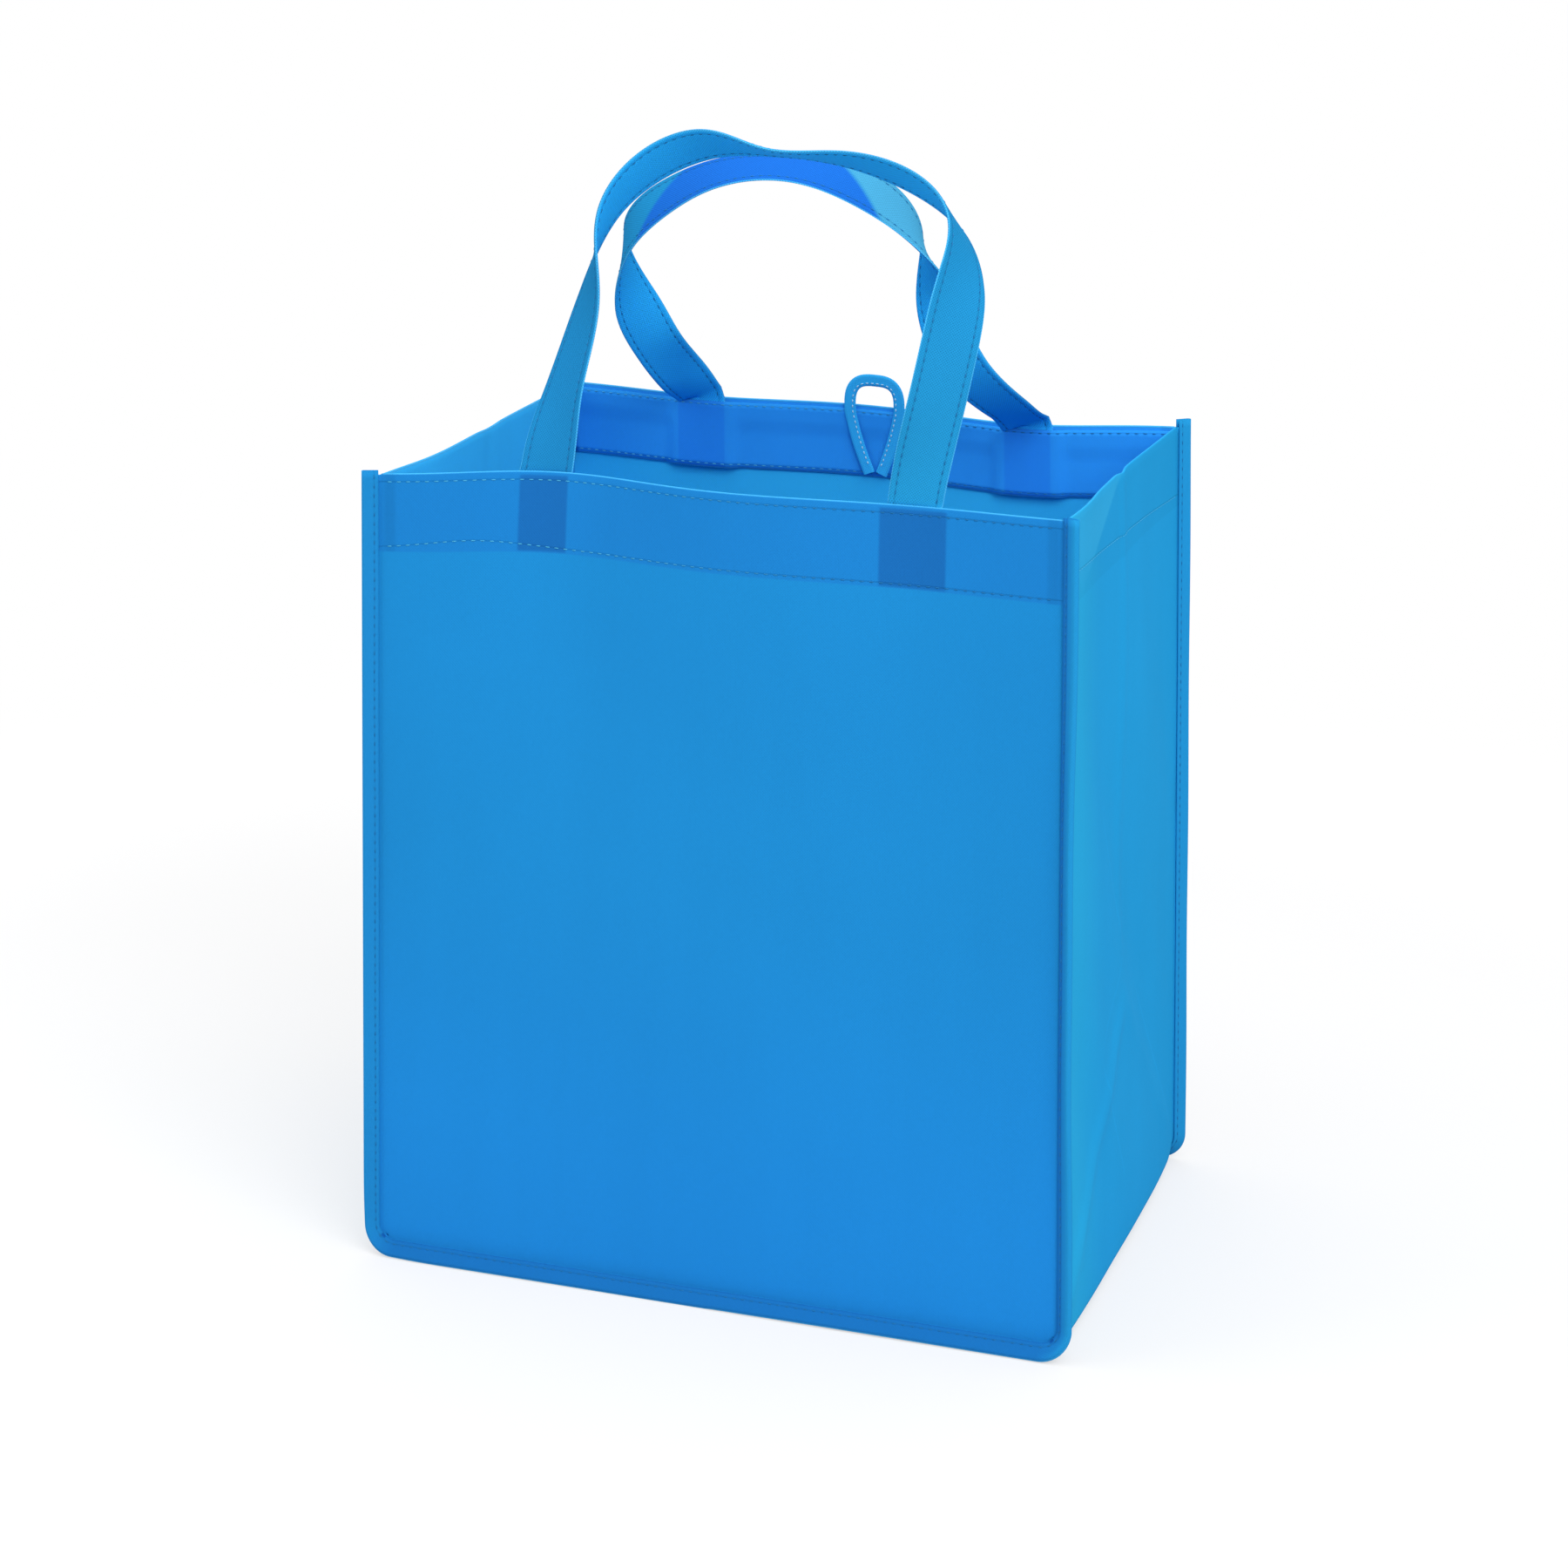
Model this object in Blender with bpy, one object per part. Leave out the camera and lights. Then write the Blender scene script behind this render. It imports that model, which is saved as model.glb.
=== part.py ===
"""Open-topped non-woven carrier bag, sewn from flat cloth.

Two panels and one gusset strip (side, base, side) meet in outward seam fins, which folded
bindings cover. Facing bands inside the mouth hold the ends of two twisted strap handles.
Metres, +Z up, front panel at -Y, origin under the middle of the base.
"""
import math

import bmesh
import bpy
import numpy as np

MM = 0.001

# Bag body, measured between seams
BAG_WIDTH = 332 * MM
BAG_DEPTH = 250 * MM
BAG_HEIGHT = 385 * MM          # floor to the folded mouth edge
MOUTH_NARROWING = 17.6 * MM    # the mouth is less wide than the base by this
CORNER_RADIUS = 8 * MM         # of the seam at the two lower corners
CREASE_AT_MOUTH = 3.4 * MM     # how far each side's centre crease is drawn in
BASE_BULGE = 2.6 * MM          # how far each side stands out near the floor
BULGE_HEIGHT = 150 * MM        # the bulge dies out over this height

# Cloth
FABRIC = 0.5 * MM
GAP = 0.3 * MM                 # air between layers that lie on each other

# Seam fins and their bindings
FIN = 7.6 * MM
FRONT_SIDE_ANGLE = math.radians(28)    # of the fin, out of the panel's own plane
FRONT_BASE_ANGLE = math.radians(44)
BACK_SIDE_ANGLE = math.radians(44)
BACK_BASE_ANGLE = math.radians(44)
FRONT_TAIL = 1.5 * MM          # front binding that stands above the mouth
BACK_TAIL = 3.5 * MM
BINDING_START = 0.4 * MM       # from the seam to the binding's inner edge

# Mouth hems
PANEL_FOLD = 8 * MM
FACING_DEPTH = 40 * MM
FACING_DROP = 3.5 * MM         # from the mouth edge to the facing's top edge
FACING_CLEARANCE = 1.5 * MM    # flat part of a facing beyond each edge of a strap end
FACING_RAMP = 6 * MM           # from there back to the panel
GUSSET_HEM = 40 * MM

# Mouth edge, drawn inwards and lifted where the handles pull, at the left and right strap
FRONT_PULL = (18.6 * MM, 10.9 * MM)
BACK_PULL = (10 * MM, 13.3 * MM)
FRONT_LIFT = (2.1 * MM, -1 * MM)
BACK_LIFT = (-0.8 * MM, -2.6 * MM)
PULL_REACH = 62 * MM           # how far along the mouth one strap's pull spreads

# Mouth edge, shifted along X, and let down at its left and right corner
FRONT_LEAN = -5.7 * MM
BACK_LEAN = -9.6 * MM
FRONT_DROP = (5 * MM, -0.9 * MM)
BACK_DROP = (1.2 * MM, 0.2 * MM)

# Handles
STRAP_WIDTH = 25 * MM
STRAP_THICKNESS = 1.4 * MM
STRAP_SPREAD = 174 * MM        # between the two ends of one handle, centre to centre
FRONT_STRAP_SHIFT = 2 * MM
BACK_STRAP_SHIFT = -1.7 * MM
HANDLE_RISE = 144 * MM
HANDLE_LEAN = 90 * MM          # how far in the loops could lean; the routes use shares of it
MOUTH_BEND = 0.6               # share of a strap's turn inwards that it makes at the mouth

# Hang loop
LOOP_TAPE = 6 * MM
LOOP_THICKNESS = 1.2 * MM
LOOP_RADIUS = 13 * MM          # of the tape's middle line at the top
LOOP_ABOVE_MOUTH = 16.2 * MM
LOOP_CENTRE = 5.7 * MM
LOOP_FOOT = 2 * MM             # from the facing's lower edge to the tape's ends
LOOP_BOW = 0.9 * MM            # how far the two legs bow apart
LOOP_WRAP = 10                 # degrees that the round top goes on below its middle

# Base
BASE_RUN = 14 * MM             # the base cloth comes down from the seams over this length
BOARD_THICKNESS = 2 * MM
BOARD_CLEARANCE = 1.5 * MM
BOARD_CORNER = 6 * MM

# Each handle's free route from its left end to its right end. A row gives: across, in half
# spreads; inwards, in leans; up, in rises; and how far the strap's width line is turned about
# its run, in degrees, from the line that is square to the run and to the bag's depth.
FRONT_ROUTE = (
    (-0.97, 0.33, 0.21, -25),
    (-0.91, 0.54, 0.51, -47),
    (-0.85, 0.69, 0.78, -99),
    (-0.36, 0.80, 0.99, -125),
    (0.04, 0.71, 0.98, -102),
    (0.46, 0.66, 0.97, -114),
    (1.07, 0.49, 0.80, -99),
    (1.13, 0.26, 0.59, -34),
    (1.08, 0.11, 0.26, -16),
)
BACK_ROUTE = (
    (-1.00, 0.31, 0.08, 33),
    (-1.08, 0.52, 0.21, 23),
    (-1.21, 0.63, 0.40, 67),
    (-1.15, 0.82, 0.60, 128),
    (-0.86, 0.91, 0.75, 131),
    (-0.51, 0.98, 0.84, 119),
    (-0.12, 0.97, 0.86, 115),
    (0.25, 0.90, 0.80, 125),
    (0.52, 0.77, 0.64, 86),
    (0.61, 0.67, 0.42, 18),
    (0.77, 0.59, 0.19, 22),
    (0.96, 0.37, 0.05, 26),
)

# Sheet layers at the mouth, from the panel's middle surface inwards
FOLD_RADIUS = (FABRIC + GAP) / 2
HEM_LAYER = FABRIC + GAP
FACING_LAYER = 2 * HEM_LAYER
STRAP_LAYER = HEM_LAYER + FABRIC / 2 + GAP + STRAP_THICKNESS / 2
FACING_OVER_STRAP = STRAP_LAYER + STRAP_THICKNESS / 2 + GAP + FABRIC / 2
LOOP_LAYER = FACING_LAYER + FABRIC / 2 + GAP + LOOP_THICKNESS / 2

# Fin layers, from the seam's middle surface
CLOTH_LAYER = (FABRIC + GAP) / 2
BINDING_LAYER = GAP / 2 + FABRIC + GAP + FABRIC / 2
BINDING_TURN = FIN + GAP
BASE_ANGLE = max(FRONT_BASE_ANGLE, BACK_BASE_ANGLE)
BINDING_LIFT = 0.1 * MM        # from the floor to the binding, so that the base cloth bears
SEAM_HEIGHT = BINDING_TURN * math.cos(BASE_ANGLE) + BINDING_LAYER + FABRIC / 2 + BINDING_LIFT
SIDE_HEIGHT = BAG_HEIGHT - SEAM_HEIGHT
MOUTH_WIDTH = BAG_WIDTH - MOUTH_NARROWING
NARROW = MOUTH_WIDTH / BAG_WIDTH

FRONT, BACK = -1, 1
STRAPS = {
    FRONT: (FRONT_STRAP_SHIFT - STRAP_SPREAD / 2, FRONT_STRAP_SHIFT + STRAP_SPREAD / 2),
    BACK: (BACK_STRAP_SHIFT - STRAP_SPREAD / 2, BACK_STRAP_SHIFT + STRAP_SPREAD / 2),
}
PULLS = {FRONT: FRONT_PULL, BACK: BACK_PULL}
LIFTS = {FRONT: FRONT_LIFT, BACK: BACK_LIFT}
LEANS = {FRONT: FRONT_LEAN, BACK: BACK_LEAN}
DROPS = {FRONT: FRONT_DROP, BACK: BACK_DROP}
TAILS = {FRONT: FRONT_TAIL, BACK: BACK_TAIL}
FIN_ANGLES = {
    FRONT: (FRONT_SIDE_ANGLE, FRONT_BASE_ANGLE),
    BACK: (BACK_SIDE_ANGLE, BACK_BASE_ANGLE),
}
CORNER_STEPS = (0.0, 0.4, 0.7, 1.0)     # of the corner radius
WIDEST_FACET = 12 * MM         # between grid lines along the mouth

CLOTH_BLUE = (0.014, 0.262, 0.687)
GUSSET_BLUE = (0.020, 0.330, 0.700)
BINDING_BLUE = (0.012, 0.230, 0.620)
STRAP_BLUE = (0.019, 0.340, 0.710)
FACING_BLUE = (0.014, 0.220, 0.680)


def clear_scene():
    for obj in list(bpy.data.objects):
        bpy.data.objects.remove(obj, do_unlink=True)


def cloth_material(name, colour, roughness=0.75):
    material = bpy.data.materials.new(name)
    material.use_nodes = True
    shader = material.node_tree.nodes["Principled BSDF"]
    shader.inputs["Base Color"].default_value = (*colour, 1.0)
    shader.inputs["Roughness"].default_value = roughness
    shader.inputs["Metallic"].default_value = 0.0
    return material


def smooth_ramp(x):
    """Cosine step from 0 to 1 as x goes from 0 to 1."""
    return 0.5 - 0.5 * np.cos(np.pi * np.clip(x, 0.0, 1.0))


def mouth_pull(x, side, amounts):
    """Sum of one bell for each strap, nothing at the side seams."""
    total = np.zeros_like(x)
    for centre, amount in zip(STRAPS[side], amounts):
        total = total + amount * np.exp(-((x - centre) / PULL_REACH) ** 2)
    return total * (1 - np.clip(2 * x / MOUTH_WIDTH, -1, 1) ** 4)


def panel_point(x, z, side, inwards=0.0):
    """Point of a panel's middle surface, from its flat width and height above the floor.

    The wall leans evenly from base to mouth. Towards the mouth it also bows in and lifts at
    the straps and comes down at its corners, as the square of the height. inwards moves the
    point off the surface, into the bag.
    """
    share = (z - SEAM_HEIGHT) / SIDE_HEIGHT
    px = x * (1 + share * (NARROW - 1))
    height = np.clip(share, 0, 1) ** 2
    pull = mouth_pull(px, side, PULLS[side]) * height
    lift = mouth_pull(px, side, LIFTS[side]) * height
    left, right = DROPS[side]
    along = np.clip(0.5 + x / BAG_WIDTH, 0, 1)
    drop = (left * (1 - along) ** 2 + right * along ** 2) * height
    return np.stack([px + LEANS[side] * share, side * (BAG_DEPTH / 2 - pull - inwards),
                     z + lift - drop], axis=-1)


def round_corner(p, q):
    """Distances from a side seam and the base seam, with the square corner rounded.

    Inside the corner's square the map from a square to a disc is used. Also returns the
    outward direction there, as shares along the side's and the base's outward normals.
    """
    u = np.clip(1 - p / CORNER_RADIUS, 0, 1)
    v = np.clip(1 - q / CORNER_RADIUS, 0, 1)
    du = u * np.sqrt(1 - v * v / 2)
    dv = v * np.sqrt(1 - u * u / 2)
    p = np.where(p < CORNER_RADIUS, CORNER_RADIUS * (1 - du), p)
    q = np.where(q < CORNER_RADIUS, CORNER_RADIUS * (1 - dv), q)
    length = np.maximum(np.hypot(du, dv), 1e-9)
    return p, q, du / length, dv / length


def fin_frame(x_sign, out_side, out_base, side):
    """Directions along a seam fin and square to it, towards the panel's outer face."""
    side_angle, base_angle = FIN_ANGLES[side]
    angle = side_angle + (base_angle - side_angle) * out_base
    outward = np.stack([x_sign * out_side, np.zeros_like(out_side), -out_base], axis=-1)
    face = np.array([0.0, side, 0.0])
    along = outward * np.cos(angle)[..., None] + face * np.sin(angle)[..., None]
    square = -outward * np.sin(angle)[..., None] + face * np.cos(angle)[..., None]
    return outward, along, square, angle


def filled(values):
    """Sorted values with more put between them, so that no step is wider than a facet."""
    values = sorted(values)
    parts = [values[:1]]
    for low, high in zip(values[:-1], values[1:]):
        steps = math.ceil((high - low) / WIDEST_FACET)
        parts.append(np.linspace(low, high, steps + 1)[1:])
    return np.concatenate(parts)


def panel_lines():
    """Distances from a side seam and from the base seam of the panel's grid lines."""
    corner = [CORNER_RADIUS * step for step in CORNER_STEPS]
    across = np.concatenate([corner, filled([CORNER_RADIUS, BAG_WIDTH / 2])[1:]])
    top = SIDE_HEIGHT - FOLD_RADIUS
    up = corner + [0.3 * top, 0.6 * top, 0.8 * top, top - FACING_DEPTH, top - PANEL_FOLD, top]
    return across, np.array(up)


def sheet_object(name, grid, material, thickness, keep=None):
    """Grid of points made a sheet with an even thickness on both sides of it."""
    rows, columns = grid.shape[:2]
    index = np.arange(rows * columns).reshape(rows, columns)
    quads = np.stack([index[:-1, :-1], index[1:, :-1], index[1:, 1:], index[:-1, 1:]], axis=-1)
    if keep is None:
        keep = np.ones(quads.shape[:2], dtype=bool)
    mesh = bpy.data.meshes.new(name)
    mesh.from_pydata(grid.reshape(-1, 3).tolist(), [], quads[keep].tolist())
    work = bmesh.new()
    work.from_mesh(mesh)
    bmesh.ops.remove_doubles(work, verts=work.verts, dist=0.001 * MM)
    loose = [vert for vert in work.verts if not vert.link_faces]
    bmesh.ops.delete(work, geom=loose, context="VERTS")
    work.to_mesh(mesh)
    work.free()
    obj = bpy.data.objects.new(name, mesh)
    bpy.context.scene.collection.objects.link(obj)
    solid = obj.modifiers.new("cloth thickness", "SOLIDIFY")
    solid.thickness = thickness
    solid.offset = 0
    solid.use_even_offset = True
    solid.use_quality_normals = True
    mesh.materials.append(material)
    mesh.shade_smooth()
    mesh.set_sharp_from_angle(angle=math.radians(35))
    return obj


def mirrored(values, span):
    """Lines measured from one edge, carried over to the other edge of a span."""
    return np.concatenate([values, (span - values[:-1])[::-1]])


def make_panel(name, side, material):
    """Wall with its edge turned out into the fin on three sides and its mouth folded in."""
    across, up = panel_lines()
    across = np.concatenate([[-FIN], mirrored(across, BAG_WIDTH), [BAG_WIDTH + FIN]])
    up = np.concatenate([[-FIN], up])
    p, q = np.meshgrid(np.minimum(across, BAG_WIDTH - across), up, indexing="ij")
    x_sign = np.where(across < BAG_WIDTH / 2, -1.0, 1.0)[:, None] * np.ones_like(p)
    flat_p, flat_q, out_side, out_base = round_corner(np.maximum(p, 0), np.maximum(q, 0))
    on_seam = (p <= 0) | (q <= 0)
    on_tip = (p < 0) | (q < 0)
    x = x_sign * (BAG_WIDTH / 2 - flat_p)
    points = panel_point(x, SEAM_HEIGHT + flat_q, side)
    outward, along, square, angle = fin_frame(x_sign, out_side, out_base, side)
    root = points - outward * (CLOTH_LAYER / np.sin(angle))[..., None]
    tip = points + along * FIN + square * CLOTH_LAYER
    points = np.where(on_seam[..., None], root, points)
    points = np.where(on_tip[..., None], tip, points)
    fold = []
    for turn in np.radians((60, 120, 180)):
        height = BAG_HEIGHT - FOLD_RADIUS + FOLD_RADIUS * math.sin(turn)
        fold.append(panel_point(x[:, -1], height, side, FOLD_RADIUS * (1 - math.cos(turn))))
    fold.append(panel_point(x[:, -1], BAG_HEIGHT - PANEL_FOLD, side, HEM_LAYER))
    grid = np.concatenate([points, np.stack(fold, axis=1)], axis=1)
    keep = np.ones((grid.shape[0] - 1, grid.shape[1] - 1), dtype=bool)
    keep[:2, points.shape[1] - 1:] = False
    keep[-2:, points.shape[1] - 1:] = False
    return sheet_object(name, grid, material, FABRIC, keep)


def seam_stations(up, across):
    """Seam from the left mouth corner down, across the base and up to the right one."""
    left = [(-1.0, 0.0, q) for q in up[::-1]]
    base_left = [(-1.0, p, 0.0) for p in across[1:]]
    base_right = [(1.0, p, 0.0) for p in across[::-1][1:]]
    right = [(1.0, 0.0, q) for q in up[1:]]
    stations = np.array(left + base_left + base_right + right)
    x_sign = stations[:, 0]
    p, q, out_side, out_base = round_corner(stations[:, 1], stations[:, 2])
    x = x_sign * (BAG_WIDTH / 2 - p)
    return x, SEAM_HEIGHT + q, x_sign, out_side, out_base


def make_gusset(name, material):
    """Side, base and side in one strip, with both mouths hemmed inwards.

    Straight across from seam to seam, then drawn in along the centre crease towards the
    mouth, and let down to the floor between the two base seams.
    """
    corner = np.array([CORNER_RADIUS * step for step in CORNER_STEPS])
    top = SIDE_HEIGHT - FOLD_RADIUS
    fan = BAG_DEPTH / 2
    up = np.concatenate([corner, [0.3 * fan, 0.65 * fan, fan, 0.55 * top, 0.75 * top,
                                  top - GUSSET_HEM, top]])
    across = np.concatenate([corner, [0.25 * BAG_WIDTH, 0.5 * BAG_WIDTH]])
    x, z, x_sign, out_side, out_base = seam_stations(up, across)
    front = panel_point(x, z, FRONT)
    back = panel_point(x, z, BACK)
    edge_inset = 2 * HEM_LAYER / BAG_DEPTH
    half = np.array([0.0, 0.35, 0.7, 1 - 2 * BASE_RUN / BAG_DEPTH, 1 - BASE_RUN / BAG_DEPTH,
                     1 - 0.4 * BASE_RUN / BAG_DEPTH, 1 - edge_inset])
    depth = np.concatenate([-half[::-1], half[1:]])
    weight = ((depth + 1) / 2)[None, :, None]
    wall = front[:, None] * (1 - weight) + back[:, None] * weight

    from_seam = (1 - np.abs(depth)) * BAG_DEPTH / 2
    drop = (SEAM_HEIGHT - FABRIC / 2) * smooth_ramp(from_seam / BASE_RUN)
    fade = 1 - smooth_ramp((z - SEAM_HEIGHT) / (5 * CORNER_RADIUS))
    wall[..., 2] -= drop[None, :] * fade[:, None]
    height = np.clip((z - SEAM_HEIGHT - fan) / (SIDE_HEIGHT - fan), 0, 1) ** 1.5
    crease = CREASE_AT_MOUTH * (1 - np.abs(depth))
    wall[..., 0] -= x_sign[:, None] * crease[None, :] * height[:, None]
    bulge = BASE_BULGE * out_side * (1 - smooth_ramp((z - SEAM_HEIGHT) / BULGE_HEIGHT))
    wall[..., 0] += x_sign[:, None] * bulge[:, None] * (1 - depth ** 4)[None, :]

    columns = [wall]
    for side, seam in ((FRONT, front), (BACK, back)):
        _, along, square, angle = fin_frame(x_sign, out_side, out_base, side)
        face = np.array([0.0, side, 0.0])
        root = seam - face * (CLOTH_LAYER / np.cos(angle))[:, None]
        tip = seam + along * FIN - square * CLOTH_LAYER
        fin = [tip[:, None], root[:, None]]
        columns = fin + columns if side == FRONT else columns + fin[::-1]
    strip = np.concatenate(columns, axis=1)

    def hem(end, below, sign):
        """Rows of one mouth's turned-in hem, from the fold to its raw edge.

        The raw edge lies one layer inwards of the wall's row at that depth.
        """
        inwards = np.array([-sign, 0.0, 0.0])
        rows = []
        for turn in np.radians((60, 120, 180)):
            rise = np.array([0.0, 0.0, FOLD_RADIUS * math.sin(turn)])
            rows.append(end + inwards * FOLD_RADIUS * (1 - math.cos(turn)) + rise)
        rows.append(below + inwards * HEM_LAYER)
        return rows

    first = hem(strip[0], strip[1], -1.0)
    last = hem(strip[-1], strip[-2], 1.0)
    grid = np.concatenate([np.stack(first[::-1]), strip, np.stack(last)])
    keep = np.ones((grid.shape[0] - 1, grid.shape[1] - 1), dtype=bool)
    for edge in (slice(0, 2), slice(-2, None)):
        keep[:len(first), edge] = False
        keep[-len(last):, edge] = False
    return sheet_object(name, grid, material, FABRIC, keep)


def make_binding(name, side, material):
    """Strip folded over the fin's raw edges, its ends standing a little above the mouth."""
    corner = np.array([CORNER_RADIUS * step for step in CORNER_STEPS])
    up = np.concatenate([corner, [SIDE_HEIGHT / 2, SIDE_HEIGHT + TAILS[side]]])
    across = np.concatenate([corner, [BAG_WIDTH / 2]])
    x, z, x_sign, out_side, out_base = seam_stations(up, across)
    seam = panel_point(x, z, side)
    _, along, square, _ = fin_frame(x_sign, out_side, out_base, side)
    section = [(BINDING_START, BINDING_LAYER), (BINDING_TURN, BINDING_LAYER)]
    for turn in np.radians((45, 90, 135)):
        section.append((BINDING_TURN + BINDING_LAYER * math.sin(turn),
                        BINDING_LAYER * math.cos(turn)))
    section += [(BINDING_TURN, -BINDING_LAYER), (BINDING_START, -BINDING_LAYER)]
    columns = [seam + along * reach + square * layer for reach, layer in section]
    return sheet_object(name, np.stack(columns, axis=1), material, FABRIC)


def make_facing(name, side, material):
    """Band inside the mouth, bulging over the two strap ends."""
    inset = HEM_LAYER + FABRIC / 2 + GAP + FABRIC / 2
    half = BAG_WIDTH / 2 - inset
    flat_half = STRAP_WIDTH / 2 + FACING_CLEARANCE
    ramp = FACING_RAMP
    lines = [-half, half]
    for centre in STRAPS[side]:
        for offset in (-flat_half - ramp, -flat_half, 0.0, flat_half, flat_half + ramp):
            lines.append((centre + offset) / NARROW)
    x = filled(lines)
    over = np.zeros_like(x)
    for centre in STRAPS[side]:
        over += smooth_ramp((flat_half + ramp - np.abs(x * NARROW - centre)) / ramp)
    layer = FACING_LAYER + (FACING_OVER_STRAP - FACING_LAYER) * over
    heights = BAG_HEIGHT - np.array([FACING_DROP, PANEL_FOLD, FACING_DEPTH / 2, FACING_DEPTH])
    rows = [panel_point(x, np.full_like(x, z), side, layer) for z in heights]
    return sheet_object(name, np.stack(rows), material, FABRIC)


def clamped_spline(knots, values, first_slope, last_slope, at):
    """Cubic spline through values at knots with set end slopes, read at many places."""
    count = len(knots)
    step = np.diff(knots)
    matrix = np.zeros((count, count))
    right = np.zeros((count, values.shape[1]))
    matrix[0, 0] = matrix[-1, -1] = 1
    right[0], right[-1] = first_slope, last_slope
    for i in range(1, count - 1):
        matrix[i, i - 1:i + 2] = (1 / step[i - 1], 2 / step[i - 1] + 2 / step[i], 1 / step[i])
        right[i] = 3 * ((values[i] - values[i - 1]) / step[i - 1] ** 2
                        + (values[i + 1] - values[i]) / step[i] ** 2)
    slope = np.linalg.solve(matrix, right)
    k = np.clip(np.searchsorted(knots, at, side="right") - 1, 0, count - 2)
    h = step[k][:, None]
    t = ((at - knots[k]) / step[k])[:, None]
    return ((1 + 2 * t) * (1 - t) ** 2 * values[k] + t * (1 - t) ** 2 * h * slope[k]
            + t * t * (3 - 2 * t) * values[k + 1] - t * t * (1 - t) * h * slope[k + 1])


def unit(vectors):
    """Vectors along the last axis brought to length 1."""
    return vectors / np.linalg.norm(vectors, axis=-1, keepdims=True)


def strap_surface(side, route, rows=50):
    """Middle surface of one handle, from one sewn-in end to the other.

    Between the ends the strap follows a spline through its route, and its width line is
    turned about the run by the route's angle.
    """
    across = np.array([-1.0, -0.5, 0.0, 0.5, 1.0]) * STRAP_WIDTH / 2
    heights = BAG_HEIGHT - np.array([FACING_DEPTH, FACING_DEPTH / 2, PANEL_FOLD, 0.0])
    ends = []
    for centre in STRAPS[side]:
        x, z = np.meshgrid((centre + across) / NARROW, heights)
        ends.append(panel_point(x, z, side, STRAP_LAYER))
    left, right = ends
    middle = (STRAPS[side][0] + STRAPS[side][1]) / 2 + LEANS[side]
    x, y, z, turn = np.array(route, dtype=float).T
    free = np.stack([middle + x * STRAP_SPREAD / 2, side * (BAG_DEPTH / 2 - y * HANDLE_LEAN),
                     BAG_HEIGHT + z * HANDLE_RISE, turn], axis=-1)
    stations = np.vstack([np.append(left[-1, 2], 0), free, np.append(right[-1, 2], 0)])
    chords = np.diff(stations[:, :3], axis=0)
    knots = np.concatenate([[0], np.cumsum(np.linalg.norm(chords, axis=1))])
    start = unit(left[-1, 2] - left[-2, 2]) * (1 - MOUTH_BEND) + unit(chords[0]) * MOUTH_BEND
    stop = unit(right[-2, 2] - right[-1, 2]) * (1 - MOUTH_BEND) + unit(chords[-1]) * MOUTH_BEND
    at = np.linspace(0, knots[-1], rows)
    run = clamped_spline(knots, stations, np.append(start, 0), np.append(stop, 0), at)
    line, turn = run[:, :3], np.radians(run[:, 3])[:, None]
    forward = unit(np.gradient(line, at, axis=0))
    level = unit(np.array([0.0, 1.0, 0.0]) - forward * forward[:, 1:2])
    width = np.cos(turn) * np.cross(level, forward) + np.sin(turn) * level
    loop = line[:, None] + width[:, None] * across[None, :, None]
    return np.concatenate([left, loop[1:-1], right[::-1, ::-1]])


def make_handle(name, side, route, material):
    """Flat strap whose two ends sit between the panel and its facing."""
    return sheet_object(name, strap_surface(side, route), material, STRAP_THICKNESS)


def make_hang_loop(name, material):
    """Narrow tape in a drop shape, its two ends side by side on the back facing."""
    top = BAG_HEIGHT + LOOP_ABOVE_MOUTH - LOOP_TAPE / 2 - LOOP_RADIUS
    foot = np.array([-(LOOP_TAPE + GAP) / 2, BAG_HEIGHT - FACING_DEPTH + LOOP_FOOT])
    angles = np.radians(np.linspace(180 + LOOP_WRAP, -LOOP_WRAP, 13))
    arc = np.stack([np.cos(angles), np.sin(angles)], axis=-1) * LOOP_RADIUS + (0, top)
    steps = np.array([0.0, 0.2, 0.4, 0.7])[:, None]
    leg = foot * (1 - steps) + arc[0] * steps
    leg[:, 0] -= LOOP_BOW * np.sin(np.pi * steps[:, 0])
    line = np.concatenate([leg, arc, leg[::-1] * (-1, 1)])
    forward = np.gradient(line, axis=0)
    forward /= np.linalg.norm(forward, axis=1, keepdims=True)
    forward[0] = forward[-1] = (0, 1)
    forward[-1] *= -1
    square = np.stack([forward[:, 1], -forward[:, 0]], axis=-1)
    columns = []
    for offset in (-LOOP_TAPE / 2, LOOP_TAPE / 2):
        flat = line + square * offset
        x = (LOOP_CENTRE + flat[:, 0]) / NARROW
        columns.append(panel_point(x, flat[:, 1], BACK, LOOP_LAYER))
    return sheet_object(name, np.stack(columns, axis=1), material, LOOP_THICKNESS)


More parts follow.
